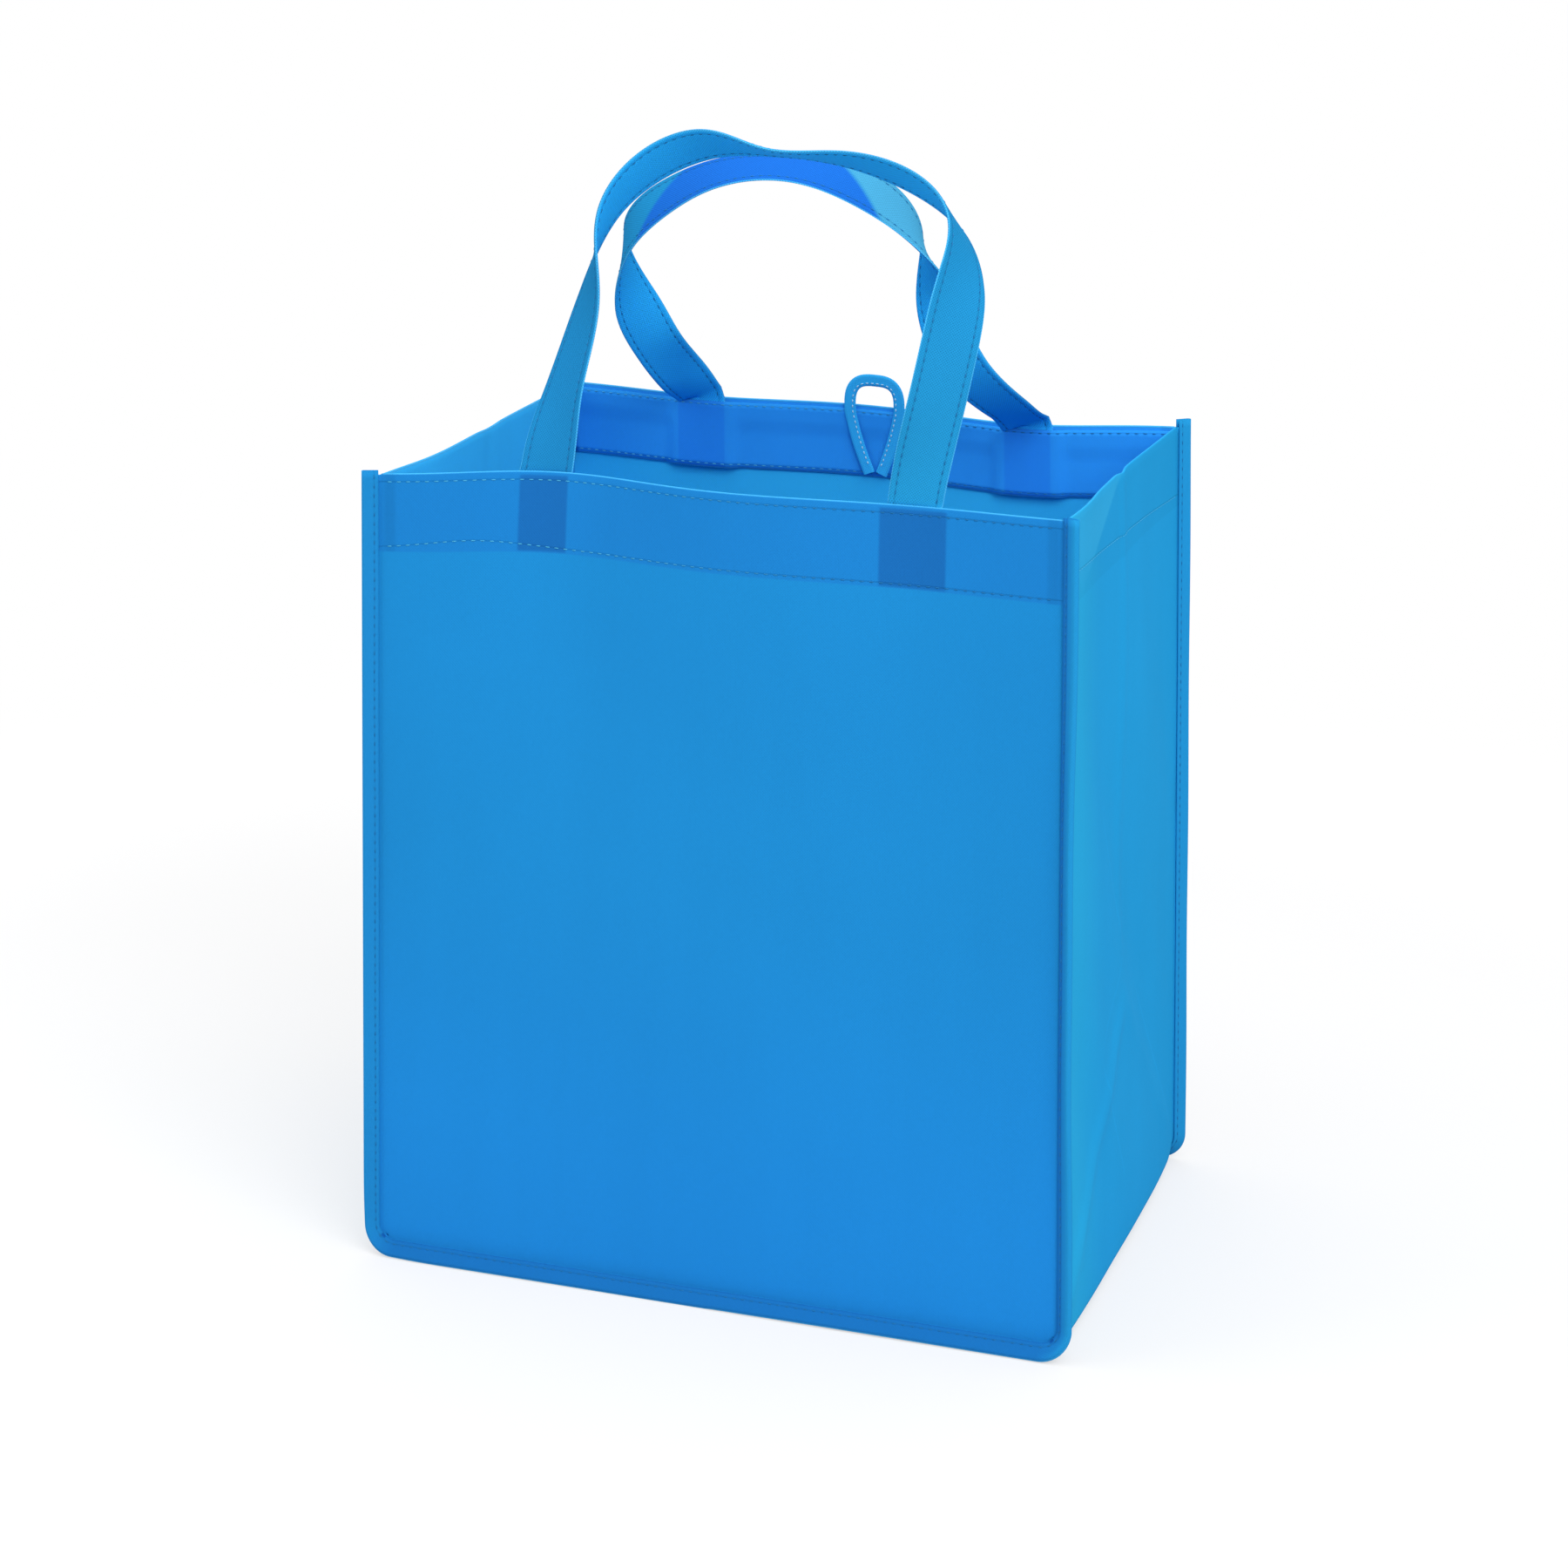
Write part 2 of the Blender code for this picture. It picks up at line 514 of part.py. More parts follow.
def make_base_board(name, material):
    """Loose board with rounded corners, lying on the flat of the base cloth."""
    half_x = BAG_WIDTH / 2 - CORNER_RADIUS - BOARD_CLEARANCE
    half_y = BAG_DEPTH / 2 - BASE_RUN - BOARD_CLEARANCE
    outline = []
    for x_sign, y_sign, start in ((1, 1, 0), (-1, 1, 90), (-1, -1, 180), (1, -1, 270)):
        for step in range(5):
            angle = math.radians(start + 22.5 * step)
            outline.append((x_sign * (half_x - BOARD_CORNER) + BOARD_CORNER * math.cos(angle),
                            y_sign * (half_y - BOARD_CORNER) + BOARD_CORNER * math.sin(angle)))
    work = bmesh.new()
    verts = [work.verts.new((x, y, FABRIC + GAP)) for x, y in outline]
    face = work.faces.new(verts)
    raised = bmesh.ops.extrude_face_region(work, geom=[face])
    moved = [item for item in raised["geom"] if isinstance(item, bmesh.types.BMVert)]
    bmesh.ops.translate(work, verts=moved, vec=(0, 0, BOARD_THICKNESS))
    bmesh.ops.recalc_face_normals(work, faces=work.faces)
    mesh = bpy.data.meshes.new(name)
    work.to_mesh(mesh)
    work.free()
    mesh.materials.append(material)
    obj = bpy.data.objects.new(name, mesh)
    bpy.context.scene.collection.objects.link(obj)
    return obj


def build():
    clear_scene()
    cloth = cloth_material("panel_cloth", CLOTH_BLUE)
    gusset = cloth_material("gusset_cloth", GUSSET_BLUE)
    binding = cloth_material("binding_cloth", BINDING_BLUE)
    strap = cloth_material("strap_cloth", STRAP_BLUE)
    facing = cloth_material("facing_cloth", FACING_BLUE)
    make_panel("front_panel", FRONT, cloth)
    make_panel("back_panel", BACK, cloth)
    make_gusset("gusset_strip", gusset)
    make_binding("front_edge_binding", FRONT, binding)
    make_binding("back_edge_binding", BACK, binding)
    make_facing("front_hem_facing", FRONT, facing)
    make_facing("back_hem_facing", BACK, facing)
    make_handle("front_handle", FRONT, FRONT_ROUTE, strap)
    make_handle("back_handle", BACK, BACK_ROUTE, strap)
    make_hang_loop("hang_loop", strap)
    make_base_board("base_board", cloth)


build()
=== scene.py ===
"""The sewn look of an open-topped non-woven carrier bag, worked out over its packed frame.

Every piece of cloth is a surface of two parameters on a grid: one along the cut cloth, one
across it. Panels, gusset, bindings, facings and straps share the formulas of the walls and the
seams, so that their layers stay a fixed distance apart. Metres, +Z up, front panel at -Y.
"""
import math
from types import SimpleNamespace

import bmesh
import bpy
import numpy as np
from mathutils import Matrix


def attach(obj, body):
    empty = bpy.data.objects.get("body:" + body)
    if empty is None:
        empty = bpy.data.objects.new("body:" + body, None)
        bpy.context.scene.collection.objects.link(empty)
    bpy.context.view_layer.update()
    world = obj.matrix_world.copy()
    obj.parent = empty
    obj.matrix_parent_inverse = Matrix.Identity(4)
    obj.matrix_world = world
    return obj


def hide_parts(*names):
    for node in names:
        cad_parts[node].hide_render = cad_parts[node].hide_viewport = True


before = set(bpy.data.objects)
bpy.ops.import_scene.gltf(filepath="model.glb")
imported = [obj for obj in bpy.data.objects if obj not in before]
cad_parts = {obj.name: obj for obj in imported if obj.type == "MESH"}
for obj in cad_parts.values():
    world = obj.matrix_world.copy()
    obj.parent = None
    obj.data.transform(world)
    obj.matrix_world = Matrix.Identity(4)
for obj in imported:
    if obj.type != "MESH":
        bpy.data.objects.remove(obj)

bl_info = {
    "name": "Non-woven tote bag",
    "version": (1, 0, 0),
    "blender": (4, 5, 0),
    "location": "View3D > Sidebar > Tote bag",
    "description": "Cloth, bindings, handles and stitches of a sewn carrier bag",
    "category": "Add Mesh",
}

FRONT, BACK = -1, 1
SIDES = {FRONT: "front", BACK: "back"}
MM = 0.001

# How far from a lower corner its tuck reaches, and where up the front's right side its fin is
# turned furthest and how far that dies out.
TUCK_REACH = 17 * MM
FOLD_MIDDLE = 190 * MM
FOLD_REACH = 130 * MM
# Places along a handle, in metres of strap: the lower leg's end, the arch's two ends and the
# other leg's start, where its colour changes under the light.
LEG_END, ARCH_START, ARCH_END, LEG_START = 0.13, 0.17, 0.31, 0.43

# Each handle's free route from its left end to its right end, close to the solid part's and
# fitted to the photograph. A row gives: across, in half spreads; inwards, in leans; up, in
# rises; and how far the width line is turned about the run, in degrees.
ROUTES = {
    FRONT: (
        (-0.97, 0.33, 0.21, -25),
        (-0.91, 0.54, 0.51, -47),
        (-0.85, 0.69, 0.78, -99),
        (-0.36, 0.80, 0.99, -125),
        (0.04, 0.71, 0.98, -102),
        (0.46, 0.66, 0.970, -114),
        (1.07, 0.49, 0.80, -99),
        (1.145, 0.26, 0.59, -34),
        (1.08, 0.11, 0.26, -16),
    ),
    BACK: (
        (-1.055, 0.31, 0.08, 24),
        (-1.139, 0.52, 0.21, 16),
        (-1.263, 0.63, 0.40, 67),
        (-1.202, 0.82, 0.60, 128),
        (-0.907, 0.91, 0.75, 131),
        (-0.551, 0.98, 0.84, 119),
        (-0.154, 0.97, 0.86, 115),
        (0.223, 0.90, 0.80, 125),
        (0.498, 0.77, 0.64, 86),
        (0.589, 0.67, 0.42, 18),
        (0.758, 0.59, 0.19, 14),
        (0.951, 0.37, 0.05, 18),
    ),
}


# Creases of the right side, painted as light streaks where their ridges catch the light
# (painted highlight), as pairs of flat places on the gusset: across it from its middle, and
# along it from the left seam's mouth, in metres.
SIDE_CREASES = (
    (-0.0402, 0.9358), (0.0052, 0.8526),
    (0.0052, 0.8526), (-0.0507, 0.8180),
    (-0.0507, 0.8180), (0.0017, 0.7348),
    (0.0332, 0.8318), (0.1150, 0.7180),
)


def length(name, text, default, low=0.0, high=2.0):
    """Length property in metres."""
    return bpy.props.FloatProperty(name=name, description=text, default=default, min=low,
                                   max=high, unit="LENGTH", precision=5)


def pair(name, text, default):
    """Two lengths, at the left and the right strap or corner."""
    return bpy.props.FloatVectorProperty(name=name, description=text, default=default, size=2,
                                         unit="LENGTH", precision=5)


def angle(name, text, degrees):
    """Angle property, given in degrees and kept in radians."""
    return bpy.props.FloatProperty(name=name, description=text, default=math.radians(degrees),
                                   subtype="ANGLE")


def colour(name, text, default):
    """Colour property in linear red, green and blue."""
    return bpy.props.FloatVectorProperty(name=name, description=text, default=default, size=3,
                                         min=0.0, max=1.0, subtype="COLOR")


def share(name, text, default):
    """Plain factor from 0 to 1."""
    return bpy.props.FloatProperty(name=name, description=text, default=default, min=0.0,
                                   max=1.0, subtype="FACTOR")


class BagBodySizes(bpy.types.PropertyGroup):
    """Sizes of the sewn body."""

    width: length("Width", "Base width between the side seams", 334.4 * MM)
    depth: length("Depth", "Base depth between front and back seams", 250 * MM)
    height: length("Height", "Floor to the folded mouth edge", 385 * MM)
    seam_height: length("Seam height", "Floor to the base seams", 7.23 * MM)
    mouth_width: length("Mouth width", "Between the side seams at the mouth", 316.8 * MM)
    corner: length("Corner radius", "Of the seam at the two lower corners", 8 * MM)
    crease: length("Side crease", "How far each side's crease is drawn in at the mouth", 3.4 * MM)
    bulge: length("Base bulge", "How far each side stands out near the floor", 2.6 * MM)
    front_push: length("Front push", "How far the right side's mouth swells near its front",
                       2 * MM)
    slack: length("Mouth slack", "How far the sides' mouth edges sag", 2.4 * MM)
    bulge_height: length("Bulge height", "The bulge dies out over this height", 150 * MM)
    lean_front: length("Front lean", "Shift of the front mouth edge along X", -5.7 * MM, -0.1, 0.1)
    lean_back: length("Back lean", "Shift of the back mouth edge along X", -9.6 * MM, -0.1, 0.1)
    front_pull: pair("Front pull", "How far the straps draw the front mouth edge in",
                     (18.6 * MM, 10.9 * MM))
    back_pull: pair("Back pull", "How far the straps draw the back mouth edge in",
                    (10 * MM, 13.3 * MM))
    front_lift: pair("Front lift", "How far the straps lift the front mouth edge",
                     (2.1 * MM, -1 * MM))
    back_lift: pair("Back lift", "How far the straps lift the back mouth edge",
                    (-0.8 * MM, -2.6 * MM))
    front_drop: pair("Front corner drop", "How far the front mouth corners hang",
                     (5 * MM, -0.9 * MM))
    back_drop: pair("Back corner drop", "How far the back mouth corners hang",
                    (1.2 * MM, 0.2 * MM))
    pull_reach: length("Pull reach", "How far along the mouth one strap's pull spreads", 62 * MM)
    fabric: length("Cloth", "Thickness of the cloth", 0.5 * MM)
    gap: length("Layer gap", "Air between layers that lie on each other", 0.3 * MM)
    relief: length("Relief", "Height of the soft waves of a wall", 1.1 * MM)
    step: length("Grid step", "Distance between grid lines of the cloth", 3.5 * MM)


class BagEdgeSizes(bpy.types.PropertyGroup):
    """Sizes of fins, bindings and hems."""

    fin: length("Fin", "Width of the joined seam edges", 7.6 * MM)
    front_side_angle: angle("Front side angle", "Side fin out of the front panel's plane", 28)
    back_side_angle: angle("Back side angle", "Side fin out of the back panel's plane", 44)
    base_angle: angle("Base angle", "Base fins out of the panels' planes", 44)
    front_fold: angle("Front fold", "Extra turn of the front's right fin at its middle", 20)
    side_reach: share("Side reach", "Reach of the side fins as a share of their width", 0.84)
    base_reach: share("Base reach", "Reach of the base fins as a share of their width", 0.97)
    front_tail: length("Front tail", "Binding that stands above the front mouth", 1.5 * MM)
    back_tail: length("Back tail", "Binding that stands above the back mouth", 3.5 * MM)
    binding_start: length("Binding start", "From the seam to the binding's edge", 0.4 * MM)
    panel_fold: length("Panel fold", "Depth of the panel's own mouth fold", 8 * MM)
    facing_depth: length("Facing depth", "From the mouth edge to the facing's lower edge",
                         36.4 * MM)
    facing_drop: length("Facing drop", "From the mouth edge to the facing's top edge", 2 * MM)
    gusset_hem: length("Gusset hem", "Depth of the hem turned in at the sides' mouths", 40 * MM)
    base_run: length("Base run", "Length over which the base cloth comes down", 14 * MM)
    front_tuck: bpy.props.FloatVectorProperty(
        name="Front tuck", description="Share of the fin's width left at the front corners",
        size=2, default=(0.92, 1.0))
    back_tuck: bpy.props.FloatVectorProperty(
        name="Back tuck", description="Share of the fin's width left at the back corners",
        size=2, default=(1.0, 1.0))


class BagHandleSizes(bpy.types.PropertyGroup):
    """Sizes of handles and hang loop."""

    strap_width: length("Strap width", "Width of the folded strap", 25 * MM)
    strap_thickness: length("Strap thickness", "Thickness of the folded strap", 1.4 * MM)
    front_spread: length("Front spread", "Between the two ends of the front handle", 174 * MM)
    back_spread: length("Back spread", "Between the two ends of the back handle", 171 * MM)
    front_shift: length("Front shift", "Middle of the front handle from the panel's middle",
                        2 * MM, -0.1, 0.1)
    back_shift: length("Back shift", "Middle of the back handle from the panel's middle",
                       1 * MM, -0.1, 0.1)
    # The strap ghosts are painted shade: strap ends behind the cloth let less light through it.
    front_ghost: pair("Front ghost", "Widths of the strap ends that show through the front",
                      (22.5 * MM, 30.5 * MM))
    back_ghost: pair("Back ghost", "Widths of the strap ends that show through the back",
                     (25 * MM, 23 * MM))
    rise: length("Rise", "Unit of height of the routes", 144 * MM)
    lean: length("Lean", "Unit of inward lean of the routes", 90 * MM)
    mouth_bend: share("Mouth bend", "Share of a strap's turn inwards made at the mouth", 0.6)
    back_bend: share("Back bend", "The same share for the back handle", 1.0)
    tape: length("Loop tape", "Width of the hang loop's tape", 6 * MM)
    tape_thickness: length("Loop thickness", "Thickness of the hang loop's tape", 1.2 * MM)
    loop_radius: length("Loop radius", "Of the tape's middle line at its top", 13 * MM)
    loop_above: length("Loop above mouth", "Loop that stands over the back mouth", 16.2 * MM)
    loop_centre: length("Loop centre", "Place of the loop along the back", 5.7 * MM, -0.1, 0.1)


class BagThread(bpy.types.PropertyGroup):
    """Stitch sizes."""

    pitch: length("Pitch", "From one stitch to the next", 4.3 * MM)
    stitch: length("Stitch", "Visible length of one stitch", 2.5 * MM)
    radius: length("Thread radius", "Half the thread's thickness", 0.24 * MM)
    row_rise: length("Row rise", "How far the lower hem row strays up near the left corner",
                     3.2 * MM)
    upper_row: length("Upper row", "From the mouth edge to the upper hem row", 3.6 * MM)
    lower_row: length("Lower row", "From the mouth edge to the lower hem row", 34.5 * MM)
    side_rise: length("Side rise", "How much higher the right side's row is at its front",
                      9 * MM)
    strap_inset: length("Strap inset", "From a strap's edge to its stitch row", 3 * MM)
    binding_inset: length("Binding inset", "From a binding's edge to its stitch row", 2.3 * MM)


class BagColours(bpy.types.PropertyGroup):
    """Colours of cloth and thread, many of them with painted light or shade."""

    panel: colour("Panel", "Outer face of front and back wall", (0.0127, 0.241, 0.592))
    panel_low: colour("Panel foot", "The same face near the base", (0.0138, 0.241, 0.665))
    # Painted shade: the hem band is darker where the facing behind it lets less light through.
    panel_hem: colour("Hem", "The same face over the facing", (0.0125, 0.207, 0.575))
    # Painted shade: a strap end behind the wall shows through as a darker band.
    panel_ghost_shade: colour("Strap ghost", "The same face over a strap end", (0.0105, 0.140, 0.440))
    # Painted light: brighter than the outer face, for light coming through the thin cloth.
    panel_inner_lit: colour("Panel inside", "Inner face of the walls", (0.030, 0.440, 0.820))
    gusset: colour("Gusset", "Outer face of sides and base", (0.0155, 0.330, 0.700))
    # Painted sheen: lighter towards the front seam.
    gusset_front_sheen: colour("Gusset front", "The same face near the front seam",
                         (0.020, 0.375, 0.700))
    # Painted light: lighter where the mouth is folded outwards and tilts up to the light.
    gusset_facet_lit: colour("Gusset facet", "The same face where its mouth is folded outwards",
                         (0.030, 0.390, 0.740))
    # Painted light: brighter than the outer face, for light coming through the thin cloth.
    gusset_inner_lit: colour("Gusset inside", "Inner face of sides and base",
                         (0.040, 0.480, 0.900))
    binding: colour("Binding", "Folded seam bindings", (0.014, 0.235, 0.570))
    # Painted shade: darker along the base edge, under the bag.
    binding_base_shade: colour("Binding under the base", "Binding along the front's base edge",
                         (0.010, 0.150, 0.440))
    # Painted shade in the small tucks at the lower corners.
    tuck: colour("Tuck", "Small dark tucks at the lower corners", (0.006, 0.095, 0.360))
    # Painted shade: darker beside the panel.
    binding_shade: colour("Binding by the panel", "Right front binding near its panel",
                         (0.011, 0.165, 0.490))
    # Painted light: lighter towards the fold.
    binding_lit: colour("Binding by the side", "Right front binding near its fold",
                          (0.016, 0.275, 0.600))
    # Painted light: brighter than the walls' outer face, for light coming through the cloth.
    facing: colour("Facing", "Bands inside the mouth", (0.024, 0.295, 0.820))
    # Painted shade: a strap end behind the facing shows through as a darker band.
    facing_ghost_shade: colour("Facing ghost", "The same bands over a strap end",
                         (0.020, 0.245, 0.790))
    strap: colour("Strap", "Outer face of the handles", (0.013, 0.230, 0.500))
    # Painted light: the front handle's arch lit brighter than its legs.
    strap_top: colour("Strap top", "Outer face of the front handle's arch",
                      (0.013, 0.250, 0.640))
    # Painted shade: the left leg, on the side away from the light.
    strap_left: colour("Strap left", "Outer face of the front handle's left leg",
                       (0.012, 0.205, 0.470))
    # Painted light: the right leg, lit from the right.
    strap_right: colour("Strap right", "Outer face of the front handle's right leg",
                        (0.017, 0.290, 0.600))
    # Painted shade: the back handle's arch where it faces down.
    strap_arch: colour("Strap arch", "Outer face of the back handle's arch",
                       (0.010, 0.130, 0.560))
    # Painted highlight: the right shoulder where the strap turns up to the light.
    strap_shoulder: colour("Strap shoulder", "Outer face of its right shoulder",
                           (0.055, 0.320, 0.550))
    # Painted light: brighter than the outer face, for light coming through the thin strap.
    strap_inner: colour("Strap inside", "Inner face of the handles", (0.022, 0.420, 0.920))
    loop: colour("Loop", "Tape of the hang loop", (0.032, 0.420, 0.830))
    # Painted highlight along cut edges and folds.
    rim_highlight: colour("Rim", "Cut edges and folds that catch the light", (0.060, 0.420, 0.780))
    thread: colour("Thread", "Stitches that catch the light", (0.060, 0.400, 0.640))
    side_thread: colour("Side thread", "Stitches of the sides' hems", (0.050, 0.400, 0.700))
    # Painted shade: stitches sunk in their groove, darker than the lit thread.
    shaded_thread: colour("Dark thread", "Stitches sunk in their groove", (0.009, 0.165, 0.400))
    loop_thread: colour("Loop thread", "Stitches of the hang loop", (0.45, 0.72, 0.85))
    board: colour("Board", "Loose board on the base", (0.030, 0.300, 0.600))


class BagStage(bpy.types.PropertyGroup):
    """Camera, floor and lamps."""

    eye: bpy.props.FloatVectorProperty(
        name="Eye", description="Place of the camera", size=3, unit="LENGTH",
        default=(0.4765, -1.5260, 0.6813))
    azimuth: angle("Azimuth", "Camera's turn round the bag", 17.65)
    elevation: angle("Elevation", "Camera's height above the horizon", 16.12)
    roll: angle("Roll", "Camera's turn about its own line of sight", 1.39)
    lens: bpy.props.FloatProperty(
        name="Lens", description="Focal length for a 36 mm frame", default=79.18, min=10.0,
        max=300.0, unit="CAMERA")
    floor_size: length("Floor size", "Half the floor's width", 4.0, 0.5, 20.0)
    floor: colour("Floor", "Plain pale floor", (0.65, 0.65, 0.65))
    floor_glow: bpy.props.FloatProperty(
        name="Floor glow", description="Evens the floor out to white for the camera",
        default=1.2, min=0.0, max=10.0)
    shadow_reach: length("Shadow reach", "The floor keeps its shadow this far out", 1.1)
    key: bpy.props.FloatProperty(
        name="Key light", description="Strength of the large soft lamp", default=42.0, min=0.0,
        unit="POWER")
    fill: bpy.props.FloatProperty(
        name="Fill light", description="Strength of the smaller lamp", default=10.0, min=0.0,
        unit="POWER")
    top: bpy.props.FloatProperty(
        name="Top light", description="Strength of the lamp over the mouth", default=26.0,
        min=0.0, unit="POWER")
    sky: bpy.props.FloatProperty(
        name="Sky", description="Strength of the even light all round", default=0.42, min=0.0,
        max=10.0)


GROUPS = {
    "bag_body": BagBodySizes,
    "bag_edges": BagEdgeSizes,
    "bag_handles": BagHandleSizes,
    "bag_thread": BagThread,
    "bag_colours": BagColours,
    "bag_stage": BagStage,
}


def cosine_step(t):
    """Cosine step from 0 to 1 as t goes from 0 to 1."""
    return 0.5 - 0.5 * np.cos(np.pi * np.clip(t, 0.0, 1.0))


def unit(vectors):
    """Vectors along the last axis brought to length 1."""
    return vectors / np.maximum(np.linalg.norm(vectors, axis=-1, keepdims=True), 1e-12)


def bell(t):
    """Bell curve exp(-t squared)."""
    return np.exp(-t * t)


def plan(context):
    """All sizes of the bag in one place: the properties and what follows from them."""
    body = context.scene.bag_body
    edges = context.scene.bag_edges
    handles = context.scene.bag_handles
    sizes = {}
    for group in (body, edges, handles, context.scene.bag_thread):
        for key in group.bl_rna.properties.keys():
            if key not in {"rna_type", "name"}:
                value = getattr(group, key)
                sizes[key] = tuple(value) if hasattr(value, "__len__") else value
    bag = SimpleNamespace(**sizes)
    bag.side_height = bag.height - bag.seam_height
    bag.spreads = {FRONT: bag.front_spread, BACK: bag.back_spread}
    bag.straps = {side: (shift - bag.spreads[side] / 2, shift + bag.spreads[side] / 2)
                  for side, shift in ((FRONT, bag.front_shift), (BACK, bag.back_shift))}
    bag.ghosts = {FRONT: bag.front_ghost, BACK: bag.back_ghost}
    bag.lean_x = {FRONT: bag.lean_front, BACK: bag.lean_back}
    bag.pulls = {FRONT: bag.front_pull, BACK: bag.back_pull}
    bag.lifts = {FRONT: bag.front_lift, BACK: bag.back_lift}
    bag.drops = {FRONT: bag.front_drop, BACK: bag.back_drop}
    bag.tails = {FRONT: bag.front_tail, BACK: bag.back_tail}
    bag.tucks = {FRONT: bag.front_tuck, BACK: bag.back_tuck}
    bag.side_angles = {FRONT: bag.front_side_angle, BACK: bag.back_side_angle}
    bag.layer = bag.fabric + bag.gap
    bag.fold_radius = bag.layer / 2
    bag.strap_layer = bag.layer + bag.fabric / 2 + bag.gap + bag.strap_thickness / 2
    bag.over_strap = bag.strap_layer + bag.strap_thickness / 2 + bag.gap + bag.fabric / 2
    bag.loop_layer = 2 * bag.layer + bag.fabric / 2 + bag.gap + bag.tape_thickness / 2
    bag.binding_layer = bag.gap / 2 + bag.fabric + bag.gap + bag.fabric / 2
    bag.binding_turn = bag.fin + bag.gap
    return bag


def at_straps(bag, x, side, amounts):
    """One bell for each strap end, times its amount, nothing at the side seams."""
    total = np.zeros_like(x)
    for centre, amount in zip(bag.straps[side], amounts):
        total = total + amount * bell((x - centre) / bag.pull_reach)
    return total * (1 - np.clip(2 * x / bag.mouth_width, -1, 1) ** 4)


def wall_waves(bag, x, z, side):
    """Soft waves of a wall: three slow sines across and up, dying out at the seams."""
    a = x / bag.width
    b = (z - bag.seam_height) / bag.side_height
    turn = 1.3 if side == FRONT else -0.4
    wave = (np.sin(7.1 * a + 2.3 * b + turn) + 0.7 * np.sin(11.3 * a - 3.9 * b + 2 * turn)
            + 0.6 * np.sin(3.1 * a + 8.3 * b - turn))
    calm = (1 - np.clip(2 * a, -1, 1) ** 4) * np.sin(np.pi * np.clip(b, 0, 1)) ** 0.7
    return bag.relief * wave * calm


def wall_point(bag, x, z, side, inwards=0.0):
    """Point of a wall's middle surface, from its flat width and height above the floor.

    The wall leans evenly from base to mouth. Towards the mouth it also bows in and lifts at
    the straps and drops at its corners, as the square of the height. inwards moves the point
    off the surface, into the bag.
    """
    rise = (z - bag.seam_height) / bag.side_height
    px = x * (1 + rise * (bag.mouth_width / bag.width - 1))
    height = np.clip(rise, 0, 1) ** 2
    pull = at_straps(bag, px, side, bag.pulls[side]) * height
    lift = at_straps(bag, px, side, bag.lifts[side]) * height
    left, right = bag.drops[side]
    along = np.clip(0.5 + x / bag.width, 0, 1)
    drop = (left * (1 - along) ** 2 + right * along ** 2) * height
    y = side * (bag.depth / 2 - pull - inwards + wall_waves(bag, x, z, side))
    return np.stack([px + bag.lean_x[side] * rise, y, z + lift - drop], axis=-1)


def round_corner(bag, p, q):
    """Distances from a side seam and the base seam, with the square corner rounded.

    Inside the corner's square the map from a square to a disc is used: u and v become
    u * sqrt(1 - v*v/2) and v * sqrt(1 - u*u/2). Also returns the outward direction, as shares
    along the side's and the base's outward normals.
    """
    r = bag.corner
    u = np.clip(1 - p / r, 0, 1)
    v = np.clip(1 - q / r, 0, 1)
    du = u * np.sqrt(1 - v * v / 2)
    dv = v * np.sqrt(1 - u * u / 2)
    p = np.where(p < r, r * (1 - du), p)
    q = np.where(q < r, r * (1 - dv), q)
    size = np.maximum(np.hypot(du, dv), 1e-9)
    return p, q, du / size, dv / size


def fin_frame(bag, x, z, x_sign, out_side, out_base, side):
    """Directions along a seam fin and square to it, towards the panel's outer face.

    The fin's angle goes from the side's to the base's with the outward direction, and wavers
    by a degree or two along the seam. The front's right fin is turned further, as a bell of
    the height. The first direction is scaled by the side's and the base's reach, each times
    the square of its share of the outward direction, and near a lower corner by the corner's
    tuck, which dies out as a bell of the distance.
    """
    side_angle = bag.side_angles[side]
    waver = 0.035 * np.sin(z / 0.021 + 2 * x_sign) + 0.03 * np.sin(x / 0.027 + side)
    turn = side_angle + (bag.base_angle - side_angle) * out_base + waver
    if side == FRONT:
        fold = bell((z - FOLD_MIDDLE) / FOLD_REACH) * out_side * (x_sign > 0)
        turn = turn + bag.front_fold * fold
    outward = np.stack([x_sign * out_side, np.zeros_like(out_side), -out_base], axis=-1)
    face = np.array([0.0, side, 0.0])
    along = outward * np.cos(turn)[..., None] + face * np.sin(turn)[..., None]
    along = along * (bag.side_reach * out_side ** 2
                     + bag.base_reach * out_base ** 2)[..., None]
    tuck = np.where(x_sign < 0, bag.tucks[side][0], bag.tucks[side][1])
    from_corner = np.hypot(bag.width / 2 - np.abs(x), z - bag.seam_height)
    along = along * (1 + (tuck - 1) * bell(from_corner / TUCK_REACH))[..., None]
    square = -outward * np.sin(turn)[..., None] + face * np.cos(turn)[..., None]
    return outward, along, square, turn


def spaced(low, high, step):
    """Even values from low to high, no further apart than a step."""
    return np.linspace(low, high, max(2, math.ceil((high - low) / step) + 1))


def mirrored(values, span):
    """Lines measured from one edge, carried over to the other edge of a span."""
    return np.concatenate([values, (span - values[:-1])[::-1]])


def mesh_object(name, points, faces, uv=None):
    """Mesh object at the origin, with a UV map in metres of cloth where one is given."""
    mesh = bpy.data.meshes.new(name)
    mesh.from_pydata(points.tolist(), [], faces.tolist())
    if uv is not None:
        layer = mesh.uv_layers.new(name="cloth")
        corners = np.empty(len(mesh.loops), dtype=np.int32)
        mesh.loops.foreach_get("vertex_index", corners)
        layer.data.foreach_set("uv", uv[corners].astype(np.float32).ravel())
    mesh.shade_smooth()
    obj = bpy.data.objects.new(name, mesh)
    bpy.context.scene.collection.objects.link(obj)
    return obj


